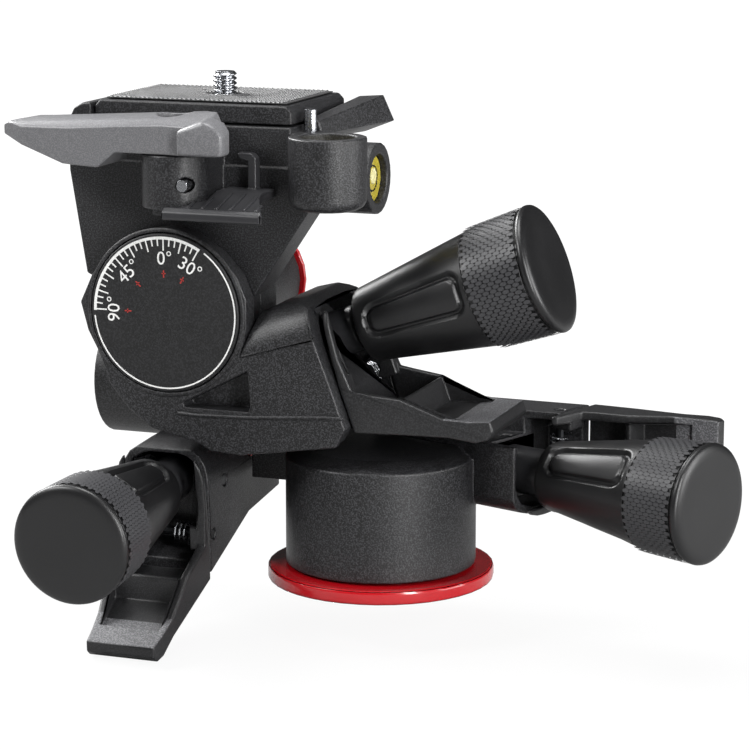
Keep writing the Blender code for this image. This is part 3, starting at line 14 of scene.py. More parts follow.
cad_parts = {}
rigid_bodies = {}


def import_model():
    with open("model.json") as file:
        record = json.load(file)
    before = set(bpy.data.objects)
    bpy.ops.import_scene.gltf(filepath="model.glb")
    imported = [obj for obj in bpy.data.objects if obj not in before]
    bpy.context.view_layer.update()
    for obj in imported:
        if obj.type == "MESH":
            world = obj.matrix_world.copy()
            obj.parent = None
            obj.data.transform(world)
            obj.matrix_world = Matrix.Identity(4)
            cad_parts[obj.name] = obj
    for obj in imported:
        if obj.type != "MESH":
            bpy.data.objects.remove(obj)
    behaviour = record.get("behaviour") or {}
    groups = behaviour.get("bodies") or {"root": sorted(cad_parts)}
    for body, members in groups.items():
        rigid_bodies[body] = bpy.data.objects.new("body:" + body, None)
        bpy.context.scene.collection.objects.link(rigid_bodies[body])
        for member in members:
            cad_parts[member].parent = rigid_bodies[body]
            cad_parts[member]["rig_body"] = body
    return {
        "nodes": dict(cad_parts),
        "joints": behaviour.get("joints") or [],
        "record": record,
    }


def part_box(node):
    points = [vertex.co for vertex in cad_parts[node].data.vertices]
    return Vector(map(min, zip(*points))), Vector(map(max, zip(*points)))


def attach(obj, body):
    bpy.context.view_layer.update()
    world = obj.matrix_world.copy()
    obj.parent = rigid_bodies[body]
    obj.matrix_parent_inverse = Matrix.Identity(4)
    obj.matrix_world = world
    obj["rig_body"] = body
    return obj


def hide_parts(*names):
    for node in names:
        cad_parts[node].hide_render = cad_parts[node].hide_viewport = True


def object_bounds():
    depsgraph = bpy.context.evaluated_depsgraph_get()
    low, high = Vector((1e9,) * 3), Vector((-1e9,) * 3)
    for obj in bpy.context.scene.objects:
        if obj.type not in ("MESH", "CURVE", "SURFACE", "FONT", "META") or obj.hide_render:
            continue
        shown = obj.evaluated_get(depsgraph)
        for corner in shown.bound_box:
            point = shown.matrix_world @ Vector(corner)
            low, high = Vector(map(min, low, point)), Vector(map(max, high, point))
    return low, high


bl_info = {
    "name": "Three-way geared head",
    "version": (1, 0, 0),
    "blender": (4, 5, 0),
    "location": "View3D > Sidebar > Geared head",
    "description": "Dresses the geared head's solids with its knobs, castings, dial and levels",
    "category": "Object",
}

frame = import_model()
CAD_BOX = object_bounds()
NODES = frame["nodes"]
JOINTS = {joint["name"]: joint for joint in frame["joints"]}

MM = 0.001
DRIVES = ("pan", "lateral", "front")
SMOOTH_ANGLE = math.radians(32)  # edges sharper than this are rounded and shaded sharp
FLAT_ANGLE = math.radians(0.6)  # faces closer than this to one plane are joined
MERGE_DISTANCE = 0.002 * MM
NODE_MERGE_DISTANCE = 0.005 * MM
EMPTY_AREA = 1e-8 * MM * MM
QUARTER = math.pi / 2


# Colours
def linear(code):
    """Linear colour from an sRGB hex code."""
    values = [int(code[i:i + 2], 16) / 255 for i in (0, 2, 4)]
    return tuple(v / 12.92 if v <= 0.04045 else ((v + 0.055) / 1.055) ** 2.4 for v in values)


def length(name, text, value):
    """A length that a user can change."""
    return FloatProperty(name=name, description=text, default=value, min=0, unit="LENGTH",
                         subtype="DISTANCE")


def colour(name, text, code):
    """A colour that a user can change."""
    return FloatVectorProperty(name=name, description=text, default=linear(code), size=3,
                               subtype="COLOR")


class HeadKnobSizes(bpy.types.PropertyGroup):
    """Sizes of the three tapered knobs."""
    groove_width: length("Groove width", "Width of the groove round each panel of the cone", 2.3 * MM)
    groove_depth: length("Groove depth", "Depth of the groove round each panel", 1.3 * MM)
    panel_depth: length("Panel depth", "How far a panel lies under the cone", 0.35 * MM)
    corner: length("Panel corner", "Corner radius of a panel's groove", 4.2 * MM)
    scale_length: length("Scale length", "Length of one grip scale along the knob", 1.95 * MM)
    scale_width: length("Scale width", "Width of one grip scale round the knob", 1.15 * MM)
    scale_height: length("Scale height", "How far a grip scale stands up", 0.6 * MM)
    panels: IntProperty(name="Panels", description="Panels round the cone", default=3, min=1)


class HeadDialSizes(bpy.types.PropertyGroup):
    """Sizes of the printed scale on the tilt dial."""
    ring_radius: length("Ring radius", "Outer radius of the printed ring", 19.9 * MM)
    arc_width: length("Arc width", "Width of the thick arc over the scale", 0.75 * MM)
    ring_width: length("Ring width", "Width of the thin ring over the rest", 0.38 * MM)
    short_tick: length("Short tick", "Length of a tick every five degrees", 1.7 * MM)
    long_tick: length("Long tick", "Length of a tick every fifteen degrees", 2.9 * MM)
    tick_width: length("Tick width", "Width of a tick", 0.36 * MM)
    figure_height: length("Figure height", "Height of the numbers", 4.9 * MM)
    figure_radius: length("Figure radius", "From the dial's centre to a number's middle", 14.1 * MM)
    mark_radius: length("Mark radius", "Distance from the dial's centre to a red mark", 10.2 * MM)
    print_height: length("Print height", "How far the print stands on the dial", 0.06 * MM)


class HeadDetailSizes(bpy.types.PropertyGroup):
    """Sizes of the small pieces on the castings and the plate."""
    thread_pitch: length("Thread pitch", "Distance between two turns of the camera screw", 1.27 * MM)
    thread_depth: length("Thread depth", "Depth of the camera screw's thread", 0.62 * MM)
    diamond_pitch: length("Diamond pitch", "Distance between two diamonds of the pad", 1.3 * MM)
    diamond_height: length("Diamond height", "Height of a diamond of the pad", 0.45 * MM)
    rib_width: length("Rib width", "Width of a rib on the catch", 0.9 * MM)
    rib_height: length("Rib height", "Height of a rib over the catch", 0.3 * MM)
    bezel_width: length("Bezel width", "Width of the ring round the dial", 1.1 * MM)
    bezel_height: length("Bezel height", "How far the ring round the dial stands up", 0.5 * MM)
    ridge_radius: length("Ridge radius", "Radius of the ridge over the body's lower band", 0.55 * MM)
    bubble_radius: length("Bubble radius", "Radius of the bubble in a level", 2.1 * MM)


class HeadColours(bpy.types.PropertyGroup):
    """Colours of the finishes."""
    casting: colour("Castings", "Matt black powder coat", "0D0D0E")
    lever: colour("Levers", "Black powder coat of the levers", "171718")
    knob: colour("Knobs", "Satin black moulding", "121213")
    # the grips' paler black is a painted highlight on the scales, which are the same moulding as the
    # knobs
    grip: colour("Grips", "Duller black of the knobs' grips", "303032")
    # the lever tips' grey is partly their greyer grain and partly a painted highlight on their up-facing
    # faces
    tip: colour("Lever tips", "Greyer grain of the levers' thumb faces", "48484A")
    dial: colour("Dial", "Dead-matt black of the dial", "0A0A0B")
    lock: colour("Lock lever", "Satin anthracite of the lock lever", "5E5E60")
    rubber: colour("Pad", "Black rubber", "1B1B1C")
    red: colour("Red", "Glossy red enamel", "B40F19")
    print_white: colour("Print", "White scale print", "E6E6E4")
    vial: colour("Vial", "Yellow level liquid", "CDBB45")


KNOBS = "head_knob_sizes"
DIAL = "head_dial_sizes"
DETAIL = "head_detail_sizes"
COLOURS = "head_colours"


def sizes(group):
    """The values of one property group."""
    return getattr(bpy.context.scene, group)


# Materials
GRAIN_RAMP = (0.47, 0.60)  # noise values where the pale grains begin and are full
NOISE_SPAN = (0.3, 0.7)  # the values that most of a noise lies between
PATCH_GRAINS = 60  # a shinier or duller patch of a coat, in grains
GLOSS_SPREAD = (-0.05, 0.05)
TOOL_LINE = 0.35 * MM
TOOL_SPREAD = (-0.08, 0.1)


def add(nodes, kind, links=None, **settings):
    """A shader node with its settings and links: values are set on sockets or on the node."""
    node = nodes.new(kind)
    for key, value in settings.items():
        if key in node.inputs:
            node.inputs[key].default_value = value
        else:
            setattr(node, key, value)
    for key, source in (links or {}).items():
        node.id_data.links.new(source, node.inputs[key])
    return node


def start(name, tint, roughness, metallic=0.0, **extra):
    """A new material with its shader; returns the material, its nodes and the shader."""
    mat = bpy.data.materials.get(name)
    if mat is not None:
        return mat, None, None
    mat = bpy.data.materials.new(name)
    mat.use_nodes = True
    nodes = mat.node_tree.nodes
    shader = nodes["Principled BSDF"]
    shader.inputs["Base Color"].default_value = (*tint, 1)
    shader.inputs["Roughness"].default_value = roughness
    shader.inputs["Metallic"].default_value = metallic
    for key, value in extra.items():
        shader.inputs[key].default_value = value
    return mat, nodes, shader


def feed(shader, socket, source):
    """Link an output to a socket of the shader."""
    shader.id_data.links.new(source, shader.inputs[socket])


def noise(nodes, size, detail, **settings):
    """A noise over the object with features of one size; returns its value."""
    place = add(nodes, "ShaderNodeTexCoord").outputs["Object"]
    node = add(nodes, "ShaderNodeTexNoise", {"Vector": place}, Scale=1 / size, Detail=detail,
               **settings)
    return node.outputs["Fac"]


def ramp(nodes, value, low, high, ends=(0.0, 1.0)):
    """A ramp between two colours; returns its colour."""
    node = add(nodes, "ShaderNodeValToRGB", {"Fac": value})
    for element, tint, place in zip(node.color_ramp.elements, (low, high), ends):
        element.position = place
        element.color = (*tint, 1)
    return node.outputs["Color"]


def spread(nodes, value, middle, reach):
    """A noise value brought to a range round a middle; returns the result."""
    settings = {"From Min": NOISE_SPAN[0], "From Max": NOISE_SPAN[1],
                "To Min": middle + reach[0], "To Max": middle + reach[1]}
    return add(nodes, "ShaderNodeMapRange", {"Value": value}, **settings).outputs["Result"]


def relief(nodes, height, edge, strength, depth, samples=6):
    """Edges rounded by the finish, with a fine relief; returns the normal."""
    soft = add(nodes, "ShaderNodeBevel", Radius=edge, samples=samples)
    bump = add(nodes, "ShaderNodeBump", {"Height": height, "Normal": soft.outputs["Normal"]},
               Strength=strength, Distance=depth)
    return bump.outputs["Normal"]


def grained(name, tint, grain, roughness, speckle, depth, edge):
    """A textured coat: fine grains that catch the light, on edges rounded by a thick film."""
    mat, nodes, shader = start(name, tint, roughness)
    if nodes is None:
        return mat
    fine = noise(nodes, grain, 2.0, Roughness=0.6)
    pale = tuple(min(1.0, v * speckle) for v in tint)
    feed(shader, "Base Color", ramp(nodes, fine, tint, pale, GRAIN_RAMP))
    patches = noise(nodes, PATCH_GRAINS * grain, 3.0)
    feed(shader, "Roughness", spread(nodes, patches, roughness, GLOSS_SPREAD))
    feed(shader, "Normal", relief(nodes, fine, edge, 0.5, depth))
    return mat


def powder_coat():
    """Matt black powder coat on castings: a fine orange-peel grain with pale sparkle."""
    return grained("black_powder_coat", sizes(COLOURS).casting, grain=0.40 * MM, roughness=0.46,
                   speckle=9.0, depth=0.14 * MM, edge=0.45 * MM)


def lever_coat():
    """Smoother black coat on the levers, with wider bright rims."""
    return grained("black_lever_coat", sizes(COLOURS).lever, grain=0.36 * MM, roughness=0.4,
                   speckle=3.0, depth=0.04 * MM, edge=0.7 * MM)


def tip_coat_painted_highlight():
    """The levers' thumb faces: a coarser, greyer grain, made lighter as a painted highlight where they
    face up.
    """
    return grained("grey_tip_painted_highlight", sizes(COLOURS).tip, grain=0.42 * MM, roughness=0.55,
                   speckle=2.6, depth=0.10 * MM, edge=0.5 * MM)


def anthracite_coat():
    """Satin anthracite lacquer on the lock lever: an even, faintly grained grey."""
    return grained("anthracite_lacquer", sizes(COLOURS).lock, grain=0.32 * MM, roughness=0.36,
                   speckle=1.5, depth=0.03 * MM, edge=0.6 * MM)


def moulded_plastic():
    """Satin black moulded polyamide: soft broad highlights with a faint mould texture."""
    return grained("satin_moulded_polyamide", sizes(COLOURS).knob, grain=0.22 * MM, roughness=0.36,
                   speckle=1.4, depth=0.006 * MM, edge=0.3 * MM)


def grip_plastic_painted_highlight():
    """The grip's duller moulding, made paler than the knob as a painted highlight on its scales."""
    return grained("grip_polyamide_painted_highlight", sizes(COLOURS).grip, grain=0.2 * MM, roughness=0.46,
                   speckle=1.5, depth=0.01 * MM, edge=0.1 * MM)


def gloss_plastic():
    """Satin black acetal of the catch, cap and carriers: clear highlights along its edges."""
    return grained("satin_black_acetal", linear("2A2A2C"), grain=0.25 * MM, roughness=0.32,
                   speckle=1.2, depth=0.006 * MM, edge=0.45 * MM)


def dial_coat():
    """The dial's dead-matt black film, darker and flatter than the castings."""
    return grained("matt_black_dial_film", sizes(COLOURS).dial, grain=0.40 * MM, roughness=0.6,
                   speckle=5.0, depth=0.06 * MM, edge=0.3 * MM)


def rubber_pad():
    """Moulded rubber: dull, with a dusty grain between the raised diamonds."""
    return grained("moulded_rubber", sizes(COLOURS).rubber, grain=0.4 * MM, roughness=0.72,
                   speckle=2.4, depth=0.04 * MM, edge=0.2 * MM)


def worn_rubber():
    """The pad's diamonds: rubbed paler than the rubber between them."""
    return grained("rubbed_rubber", linear("222223"), grain=0.4 * MM, roughness=0.5,
                   speckle=2.2, depth=0.02 * MM, edge=0.05 * MM)


def scale_print():
    """White pad print of the scale, slightly worn into the grain below."""
    return grained("white_pad_print", sizes(COLOURS).print_white, grain=0.4 * MM, roughness=0.55,
                   speckle=0.86, depth=0.01 * MM, edge=0.02 * MM)


def red_print():
    """Red pad print of the small marks."""
    return grained("red_pad_print", linear("9A2A24"), grain=0.4 * MM, roughness=0.6,
                   speckle=1.2, depth=0.01 * MM, edge=0.02 * MM)


def red_enamel():
    """Glossy red enamel: a deep even colour under a clear smooth film."""
    red = sizes(COLOURS).red
    film = {"Coat Weight": 0.6, "Coat Roughness": 0.08}
    mat, nodes, shader = start("red_gloss_enamel", red, 0.22, **film)
    if nodes is None:
        return mat
    waves = noise(nodes, 2.5 * MM, 1.0)
    feed(shader, "Normal", relief(nodes, waves, 0.4 * MM, 0.2, 0.02 * MM))
    feed(shader, "Base Color", ramp(nodes, waves, [v * 0.9 for v in red], red))
    return mat


def turned_metal(name, code, roughness):
    """Turned metal: fine tool lines that streak the highlights."""
    mat, nodes, shader = start(name, linear(code), roughness, 1.0)
    if nodes is None:
        return mat
    lines = noise(nodes, TOOL_LINE, 2.0)
    feed(shader, "Roughness", spread(nodes, lines, roughness, TOOL_SPREAD))
    feed(shader, "Normal", relief(nodes, lines, 0.15 * MM, 0.3, 0.01 * MM, 4))
    return mat


def bright_steel():
    """Nickel-plated steel of springs, axles, plate pins and the camera screw."""
    return turned_metal("nickel_plated_steel", "B4B6BA", 0.24)


def black_oxide():
    """Blackened steel of the lever pins, the lock's screw and the levels' rings: dark and satin."""
    return turned_metal("black_oxide_steel", "3A3B3D", 0.38)


def cut_bronze():
    """Hobbed bronze of the gear wheels: warm, with fine cutter lines."""
    return turned_metal("hobbed_bronze", "B58C4A", 0.32)


def see_through(name, tint, roughness, weight, ior, low, high, cloud, detail):
    """A clear material whose tint varies a little from place to place."""
    mat, nodes, shader = start(name, tint, roughness, **{"Transmission Weight": weight, "IOR": ior})
    if nodes is not None:
        feed(shader, "Base Color", ramp(nodes, noise(nodes, cloud, detail), low, high))
    return mat


def vial_acrylic():
    """Tinted acrylic level: yellow, clear enough to take the light through."""
    tint = sizes(COLOURS).vial
    return see_through("yellow_acrylic", tint, roughness=0.06, weight=0.35, ior=1.49,
                       low=[v * 0.8 for v in tint], high=tint, cloud=3 * MM, detail=2.0)


def clear_bubble():
    """The bubble's surface in the liquid: pale and glossy, with a trace of the yellow below."""
    return see_through("level_bubble", linear("E9E2A0"), roughness=0.05, weight=0.25, ior=1.33,
                       low=linear("DCD27E"), high=linear("F2EDC2"), cloud=1.5 * MM, detail=1.0)


# Mesh helpers
def turned(profile, steps, cuts=None):
    """A closed shape turned about X from (along, radius) points; cuts adds points to a stretch."""
    bm = bmesh.new()
    verts = [bm.verts.new((a, r, 0)) for a, r in profile]
    edges = [bm.edges.new(pair) for pair in zip(verts, verts[1:])]
    for index, count in (cuts or {}).items():
        bmesh.ops.subdivide_edges(bm, edges=[edges[index]], cuts=count)
    bmesh.ops.spin(bm, geom=bm.verts[:] + bm.edges[:], cent=(0, 0, 0), axis=(1, 0, 0),
                   angle=2 * math.pi, steps=steps, use_merge=True)
    return closed(bm)


def closed(bm):
    """Merge what touches and face everything outwards."""
    bmesh.ops.remove_doubles(bm, verts=bm.verts[:], dist=MERGE_DISTANCE)
    empty = [f for f in bm.faces if f.calc_area() < EMPTY_AREA]
    bmesh.ops.delete(bm, geom=empty, context="FACES_ONLY")
    bmesh.ops.recalc_face_normals(bm, faces=bm.faces[:])
    return bm


def slab(outline, low, high):
    """A plate in the XZ plane from an outline, thickened along Y."""
    bm = bmesh.new()
    face = bm.faces.new([bm.verts.new((x, low, z)) for x, z in outline])
    grown = bmesh.ops.extrude_face_region(bm, geom=[face])
    top = [v for v in grown["geom"] if isinstance(v, bmesh.types.BMVert)]
    bmesh.ops.translate(bm, verts=top, vec=(0, high - low, 0))
    return closed(bm)


def rounded(bm, width):
    """Round every sharp edge."""
    sharp = [e for e in bm.edges if len(e.link_faces) == 2 and e.calc_face_angle(0) > SMOOTH_ANGLE]
    bmesh.ops.bevel(bm, geom=sharp, offset=width, segments=3, profile=0.5, affect="EDGES",
                    clamp_overlap=True, material=-1)
    return bm


def join(bm, other):
    """Put another mesh in this one."""
    mesh = bpy.data.meshes.new("part")
    other.to_mesh(mesh)
    other.free()
    bm.from_mesh(mesh)
    bpy.data.meshes.remove(mesh)
    return bm


def piece(bm, name, mat, body, stands_for=(), smooth=SMOOTH_ANGLE):
    """A finished piece at the origin that rides on a body."""
    mesh = bpy.data.meshes.new(name)
    bm.to_mesh(mesh)
    bm.free()
    ob = bpy.data.objects.new(name, mesh)
    bpy.context.scene.collection.objects.link(ob)
    mesh.materials.append(mat)
    mesh.shade_smooth()
    mesh.set_sharp_from_angle(angle=smooth)
    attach(ob, body)
    if stands_for:
        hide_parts(*stands_for)
    return ob


def merged_copy(node):
    """A node's mesh as one closed mesh with flat faces joined."""
    mesh = NODES[node].data.copy()
    for name in ("custom_normal", "sharp_edge", "sharp_face"):
        if name in mesh.attributes:
            mesh.attributes.remove(mesh.attributes[name])
    bm = bmesh.new()
    bm.from_mesh(mesh)
    bpy.data.meshes.remove(mesh)
    bmesh.ops.remove_doubles(bm, verts=bm.verts[:], dist=NODE_MERGE_DISTANCE)
    bmesh.ops.dissolve_limit(bm, angle_limit=FLAT_ANGLE, use_dissolve_boundaries=False,
                             verts=bm.verts[:], edges=bm.edges[:])
    return bm


def slot_of(node):
    """A node's material slot in the record."""
    for part in frame["record"]["subparts"]:
        if part["node"] == node:
            return part["material_slot"]
    raise ValueError("no sub-part " + node)


def body_of(node):
    """The body that a node rides on."""
    return NODES[node]["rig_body"]


def drive_frame(prefix):
    """A drive's frame from its joints: X along the knob, Z towards the wheel."""
    knob = JOINTS[prefix + "_knob_turn"]
    out = Vector(knob["axis"]).normalized()
    side = -Vector(JOINTS[prefix + "_release"]["axis"]).normalized()
    up = out.cross(side)
    turn = Matrix((out, side, up)).transposed().to_4x4()
    return Matrix.Translation(knob["pos_m"]) @ turn


def in_frame(node, place):
    """A node's points in a drive's frame."""
    back = place.inverted()
    return [back @ v.co for v in NODES[node].data.vertices]


# Knobs
# (share of the length, share of the radius) from the neck to the cap
KNOB_OUTLINE = (
    (0.0, 0.0), (0.0, 0.500), (0.010, 0.568), (0.026, 0.590), (0.040, 0.596), (0.052, 0.602),
    (0.646, 0.908), (0.649, 0.888), (0.656, 0.888), (0.660, 0.922), (0.940, 0.962), (0.943, 0.942),
    (0.950, 0.942), (0.954, 0.984), (0.962, 0.998), (0.970, 1.0), (0.980, 0.991), (0.988, 0.966),
    (0.994, 0.925), (0.998, 0.870), (1.0, 0.80), (0.9995, 0.50), (0.999, 0.0),
)
CONE_EDGE = 5  # the stretch of the outline that the panels lie on
CONE_CUTS = 56
KNOB_TURNS = 240
KNOB_CLEARANCE = 0.1 * MM
# where a panel starts and ends along the knob, and half its width there over the knob's radius
PANEL_ENDS = (0.056, 0.626)
PANEL_HALVES = (0.29, 0.388)
# where the middle of a panel faces, round each knob
PANEL_TURNS = {"pan": math.radians(39), "lateral": math.radians(150), "front": math.radians(-83)}
GROOVE_WALLS = 2.4  # the groove's width over the width of one of its walls
# where the grip starts and ends along the knob, and its radius there over the knob's
BAND_ENDS = (0.662, 0.938)
BAND_SHARES = (0.922, 0.962)
SCALE_SIDES = 8
SCALE_STEPS = ((0.22, 0.62), (0.40, 0.34))  # inset and rise of each step of a unit scale
SCALE_SINK = 0.125  # share of its height that a scale sits under the band
COLUMN_SHARE = 0.90  # from one column to the next, over the width of a scale
ROW_START = 0.25


def ease(value):
    """A smooth step from 0 to 1."""
    value = min(max(value, 0.0), 1.0)
    return value * value * (3 - 2 * value)


def panel_depth(along, across, length_, radius, s):
    """How deep the cone is at a point, from its distance to the panel's rounded outline."""
    low, high = (share * length_ for share in PANEL_ENDS)
    middle = (low + high) / 2
    share = (along - low) / (high - low)
    half = radius * (PANEL_HALVES[0] + (PANEL_HALVES[1] - PANEL_HALVES[0]) * share)
    qx = abs(along - middle) - ((high - low) / 2 - s.corner)
    qy = abs(across) - (half - s.corner)
    inside = -(math.hypot(max(qx, 0), max(qy, 0)) + min(max(qx, qy), 0) - s.corner)
    wall = s.groove_width / GROOVE_WALLS
    down = s.groove_depth * ease(inside / wall)
    up = (s.groove_depth - s.panel_depth) * ease((inside - s.groove_width + wall) / wall)
    return down - up


def knob_body(neck, length_, radius, turn):
    """The cone with its grooved panels, the plain band and the cap."""
    s = sizes(KNOBS)
    outline = [(neck + a * length_, r * radius) for a, r in KNOB_OUTLINE]
    bm = turned(outline, KNOB_TURNS, {CONE_EDGE: CONE_CUTS})
    pitch = 2 * math.pi / s.panels
    for vert in bm.verts:
        along = vert.co.x - neck
        if not PANEL_ENDS[0] * length_ < along < PANEL_ENDS[1] * length_:
            continue
        out = math.hypot(vert.co.y, vert.co.z)
        angle = (math.atan2(vert.co.y, vert.co.z) - turn + pitch / 2) % pitch - pitch / 2
        depth = panel_depth(along, angle * out, length_, radius, s)
        vert.co.y *= (out - depth) / out
        vert.co.z *= (out - depth) / out
    return bm


def one_scale(s):
    """A low oval dome, along X and standing up Z."""
    bm = bmesh.new()
    bmesh.ops.create_circle(bm, cap_ends=True, cap_tris=False, segments=SCALE_SIDES, radius=1)
    face = bm.faces[:][0]
    for inset, rise in SCALE_STEPS:
        bmesh.ops.inset_region(bm, faces=[face], thickness=inset, depth=0)
        bmesh.ops.translate(bm, verts=face.verts[:], vec=(0, 0, rise))
    bmesh.ops.scale(bm, vec=(s.scale_length / 2, s.scale_width / 2, s.scale_height),
                    verts=bm.verts[:])
    return bm


def knob_grip(neck, length_, radius):
    """Columns of oval scales round the band, each column half a scale on from the last."""
    s = sizes(KNOBS)
    low, high = (neck + share * length_ for share in BAND_ENDS)
    rows = round((high - low) / s.scale_length)
    pitch = (high - low) / rows
    columns = 2 * round(math.pi * radius / (s.scale_width * COLUMN_SHARE))
    one = one_scale(s)
    pattern = bpy.data.meshes.new("scale")
    one.to_mesh(pattern)
    one.free()
    bm = bmesh.new()
    for column in range(columns):
        turn = Matrix.Rotation(2 * math.pi * column / columns, 4, "X")
        shift = 0.5 if column % 2 else 0.0
        for row in range(rows):
            along = low + (row + ROW_START + shift) * pitch
            share = (along - low) / (high - low)
            out = radius * (BAND_SHARES[0] + (BAND_SHARES[1] - BAND_SHARES[0]) * share)
            place = turn @ Matrix.Translation((along, 0, out - s.scale_height * SCALE_SINK))
            fresh = len(bm.verts)
            bm.from_mesh(pattern)
            bm.verts.ensure_lookup_table()
            bmesh.ops.transform(bm, matrix=place, verts=bm.verts[fresh:])
    bpy.data.meshes.remove(pattern)
    return bm


class HEAD_OT_knobs(bpy.types.Operator):
    """Build the three tapered knobs with their grips"""
    bl_idname = "head.knobs"
    bl_label = "Knobs"

    def execute(self, context):
        for prefix in DRIVES:
            place = drive_frame(prefix)
            node, body = prefix + "_knob", prefix + "_drive"
            points = in_frame(node, place)
            neck = min(p.x for p in points)
            length_ = max(p.x for p in points) - neck
            radius = max(math.hypot(p.y, p.z) for p in points) - KNOB_CLEARANCE
            cone = knob_body(neck, length_, radius, PANEL_TURNS[prefix])
            cone.transform(place)
            piece(cone, node + "_body", moulded_plastic(), body, [node])
            grip = knob_grip(neck, length_, radius)
            grip.transform(place)
            piece(grip, node + "_grip", grip_plastic_painted_highlight(), body)
        return {"FINISHED"}


# Castings, levers and other solids taken over from their nodes
CAST_NODES = ("pan_housing", "tilt_body", "end_housing", "plate_bracket", "camera_plate",
              "plate_jaw")
LEVER_NODES = ("pan_lever", "lateral_lever", "front_lever")
CARRIER_NODES = ("pan_worm_carrier", "lateral_worm_carrier", "front_worm_carrier")
GREY_NODES = ("lock_lever",)
GLOSS_NODES = ("safety_catch", "end_cap")
DIAL_NODES = ("tilt_dial",)
RED_NODES = ("base_disc", "lateral_ring", "front_ring")
EDGE_ROUND = 0.45 * MM
EDGE_SEGMENTS = 2
FLAT_WEIGHT = 60
# a lever's thumb face, in its drive's frame: its up-facing faces get a greyer grain that is also
# lightened as a painted highlight
TIP_HIGHLIGHT_START = 60 * MM
TIP_HIGHLIGHT_FACING = 0.5
DARK_ENDINGS = ("lever_pin", "pin_high", "pin_low", "lock_screw")
SLOT_FINISHES = {"bright_steel": bright_steel, "gear_bronze": cut_bronze, "vial_yellow": vial_acrylic,
                 "inner_casting": bright_steel}


def dress(node, mat, round_edge=0.0):
    """A merged copy of a node with its own finish and, for a casting, rounded edges."""
    ob = piece(merged_copy(node), node + "_finished", mat, body_of(node), [node])
    if round_edge:
        bevel = ob.modifiers.new("edges", "BEVEL")
        bevel.width = round_edge
        bevel.segments = EDGE_SEGMENTS
        bevel.limit_method = "ANGLE"
        bevel.angle_limit = SMOOTH_ANGLE
        bevel.use_clamp_overlap = False
        flats = ob.modifiers.new("flats", "WEIGHTED_NORMAL")
        flats.weight = FLAT_WEIGHT
        flats.keep_sharp = False


class HEAD_OT_castings(bpy.types.Operator):
    """Finish the castings, levers and rings"""
    bl_idname = "head.castings"
    bl_label = "Castings"

    def execute(self, context):
        groups = ((CAST_NODES, powder_coat()), (LEVER_NODES, lever_coat()),
                  (CARRIER_NODES, gloss_plastic()), (GREY_NODES, anthracite_coat()),
                  (GLOSS_NODES, gloss_plastic()), (RED_NODES, red_enamel()), (DIAL_NODES, dial_coat()))
        for nodes, mat in groups:
            for node in nodes:
                dress(node, mat, EDGE_ROUND)
        for prefix in DRIVES:
            mesh = bpy.data.objects[prefix + "_lever_finished"].data
            # the up-facing thumb faces take the lighter tip coat: partly a greyer grain, partly a
            # painted highlight
            mesh.materials.append(tip_coat_painted_highlight())
            back = drive_frame(prefix).inverted()
            for face in mesh.polygons:
                along, facing = (back @ face.center).x, (back.to_3x3() @ face.normal).z
                if along > TIP_HIGHLIGHT_START and facing > TIP_HIGHLIGHT_FACING:
                    face.material_index = 1
        return {"FINISHED"}


class HEAD_OT_metalwork(bpy.types.Operator):
    """Finish the pins, axles, gears and springs"""
    bl_idname = "head.metalwork"
    bl_label = "Metalwork"

    def execute(self, context):
        for node, ob in NODES.items():
            if ob.hide_render:
                continue
            finish = SLOT_FINISHES.get(slot_of(node), moulded_plastic)
            if node.endswith(DARK_ENDINGS):
                finish = black_oxide
            dress(node, finish())
        return {"FINISHED"}


# Small pieces
# the camera screw: its head's thickness over its length, its stud's radius over its head's
SCREW_HEAD_SHARE = 0.232
SCREW_STUD_SHARE = 0.443
SCREW_SHARP = math.radians(50)
THREAD_TURNS = 64
THREAD_CUTS = 84
THREAD_STRETCH = 4  # the stretch of the outline that the thread is cut in
THREAD_FLANK = 1.4  # how steep the flanks are, over those of a plain V
PAD_PLAIN_RADIUS = 5 * MM
CORNERS = ((1, 0), (0, 1), (-1, 0), (0, -1))
# (x, z) shares of the lock lever's height, from its right lower corner
LOCK_BLOCK_SHARES = ((-0.72, 0.30), (-0.72, 0.78), (-0.22, 0.96), (0.02, 0.86), (0.12, 0.72),
                     (0.12, 0.30))
LOCK_BLOCK_RISE = 2.0 * MM
LOCK_BLOCK_ROUND = 0.9 * MM
# (share of the catch's width, then where the rib starts and ends along its depth)
CATCH_RIBS = ((0.22, 0.16, 0.32), (0.36, 0.16, 0.46), (0.50, 0.16, 0.60), (0.64, 0.16, 0.60),
              (0.78, 0.16, 0.54), (0.90, 0.16, 0.32))
CATCH_SLOPE = 0.272
CATCH_LIFT = 1.85 * MM
# the ring's inner and outer edge past the dial, in bezel widths, and its lower steps
BEZEL_EDGE_SHARES = (0.25, 1.25)
BEZEL_STEP_SHARES = (0.7, 0.4)
BEZEL_TURNS = 96
# the ridge over the band, as (x, z) shares of the body's box
RIDGE_SHARES = ((0.375, 0.480), (0.44, 0.478), (0.62, 0.482), (0.80, 0.492), (0.93, 0.499),
                (0.985, 0.500))
RIDGE_SIDES = 10
RIDGE_END_SHARE = 0.4
# the level's circle and bubble, in bubble radii
LEVEL_RING_SHARE = 1.45
LEVEL_RING_HEIGHT_SHARE = 0.0625
LEVEL_RING_TURNS = 48
BUBBLE_SHARES = ((0, 0), (0, 1), (0.09, 0.97), (0.12, 0.86), (0.07, 0.72), (0.11, 0.4), (0.13, 0))
BUBBLE_SHIFT_SHARES = (0, 0.2, 0.25)
BUBBLE_TURNS = 40


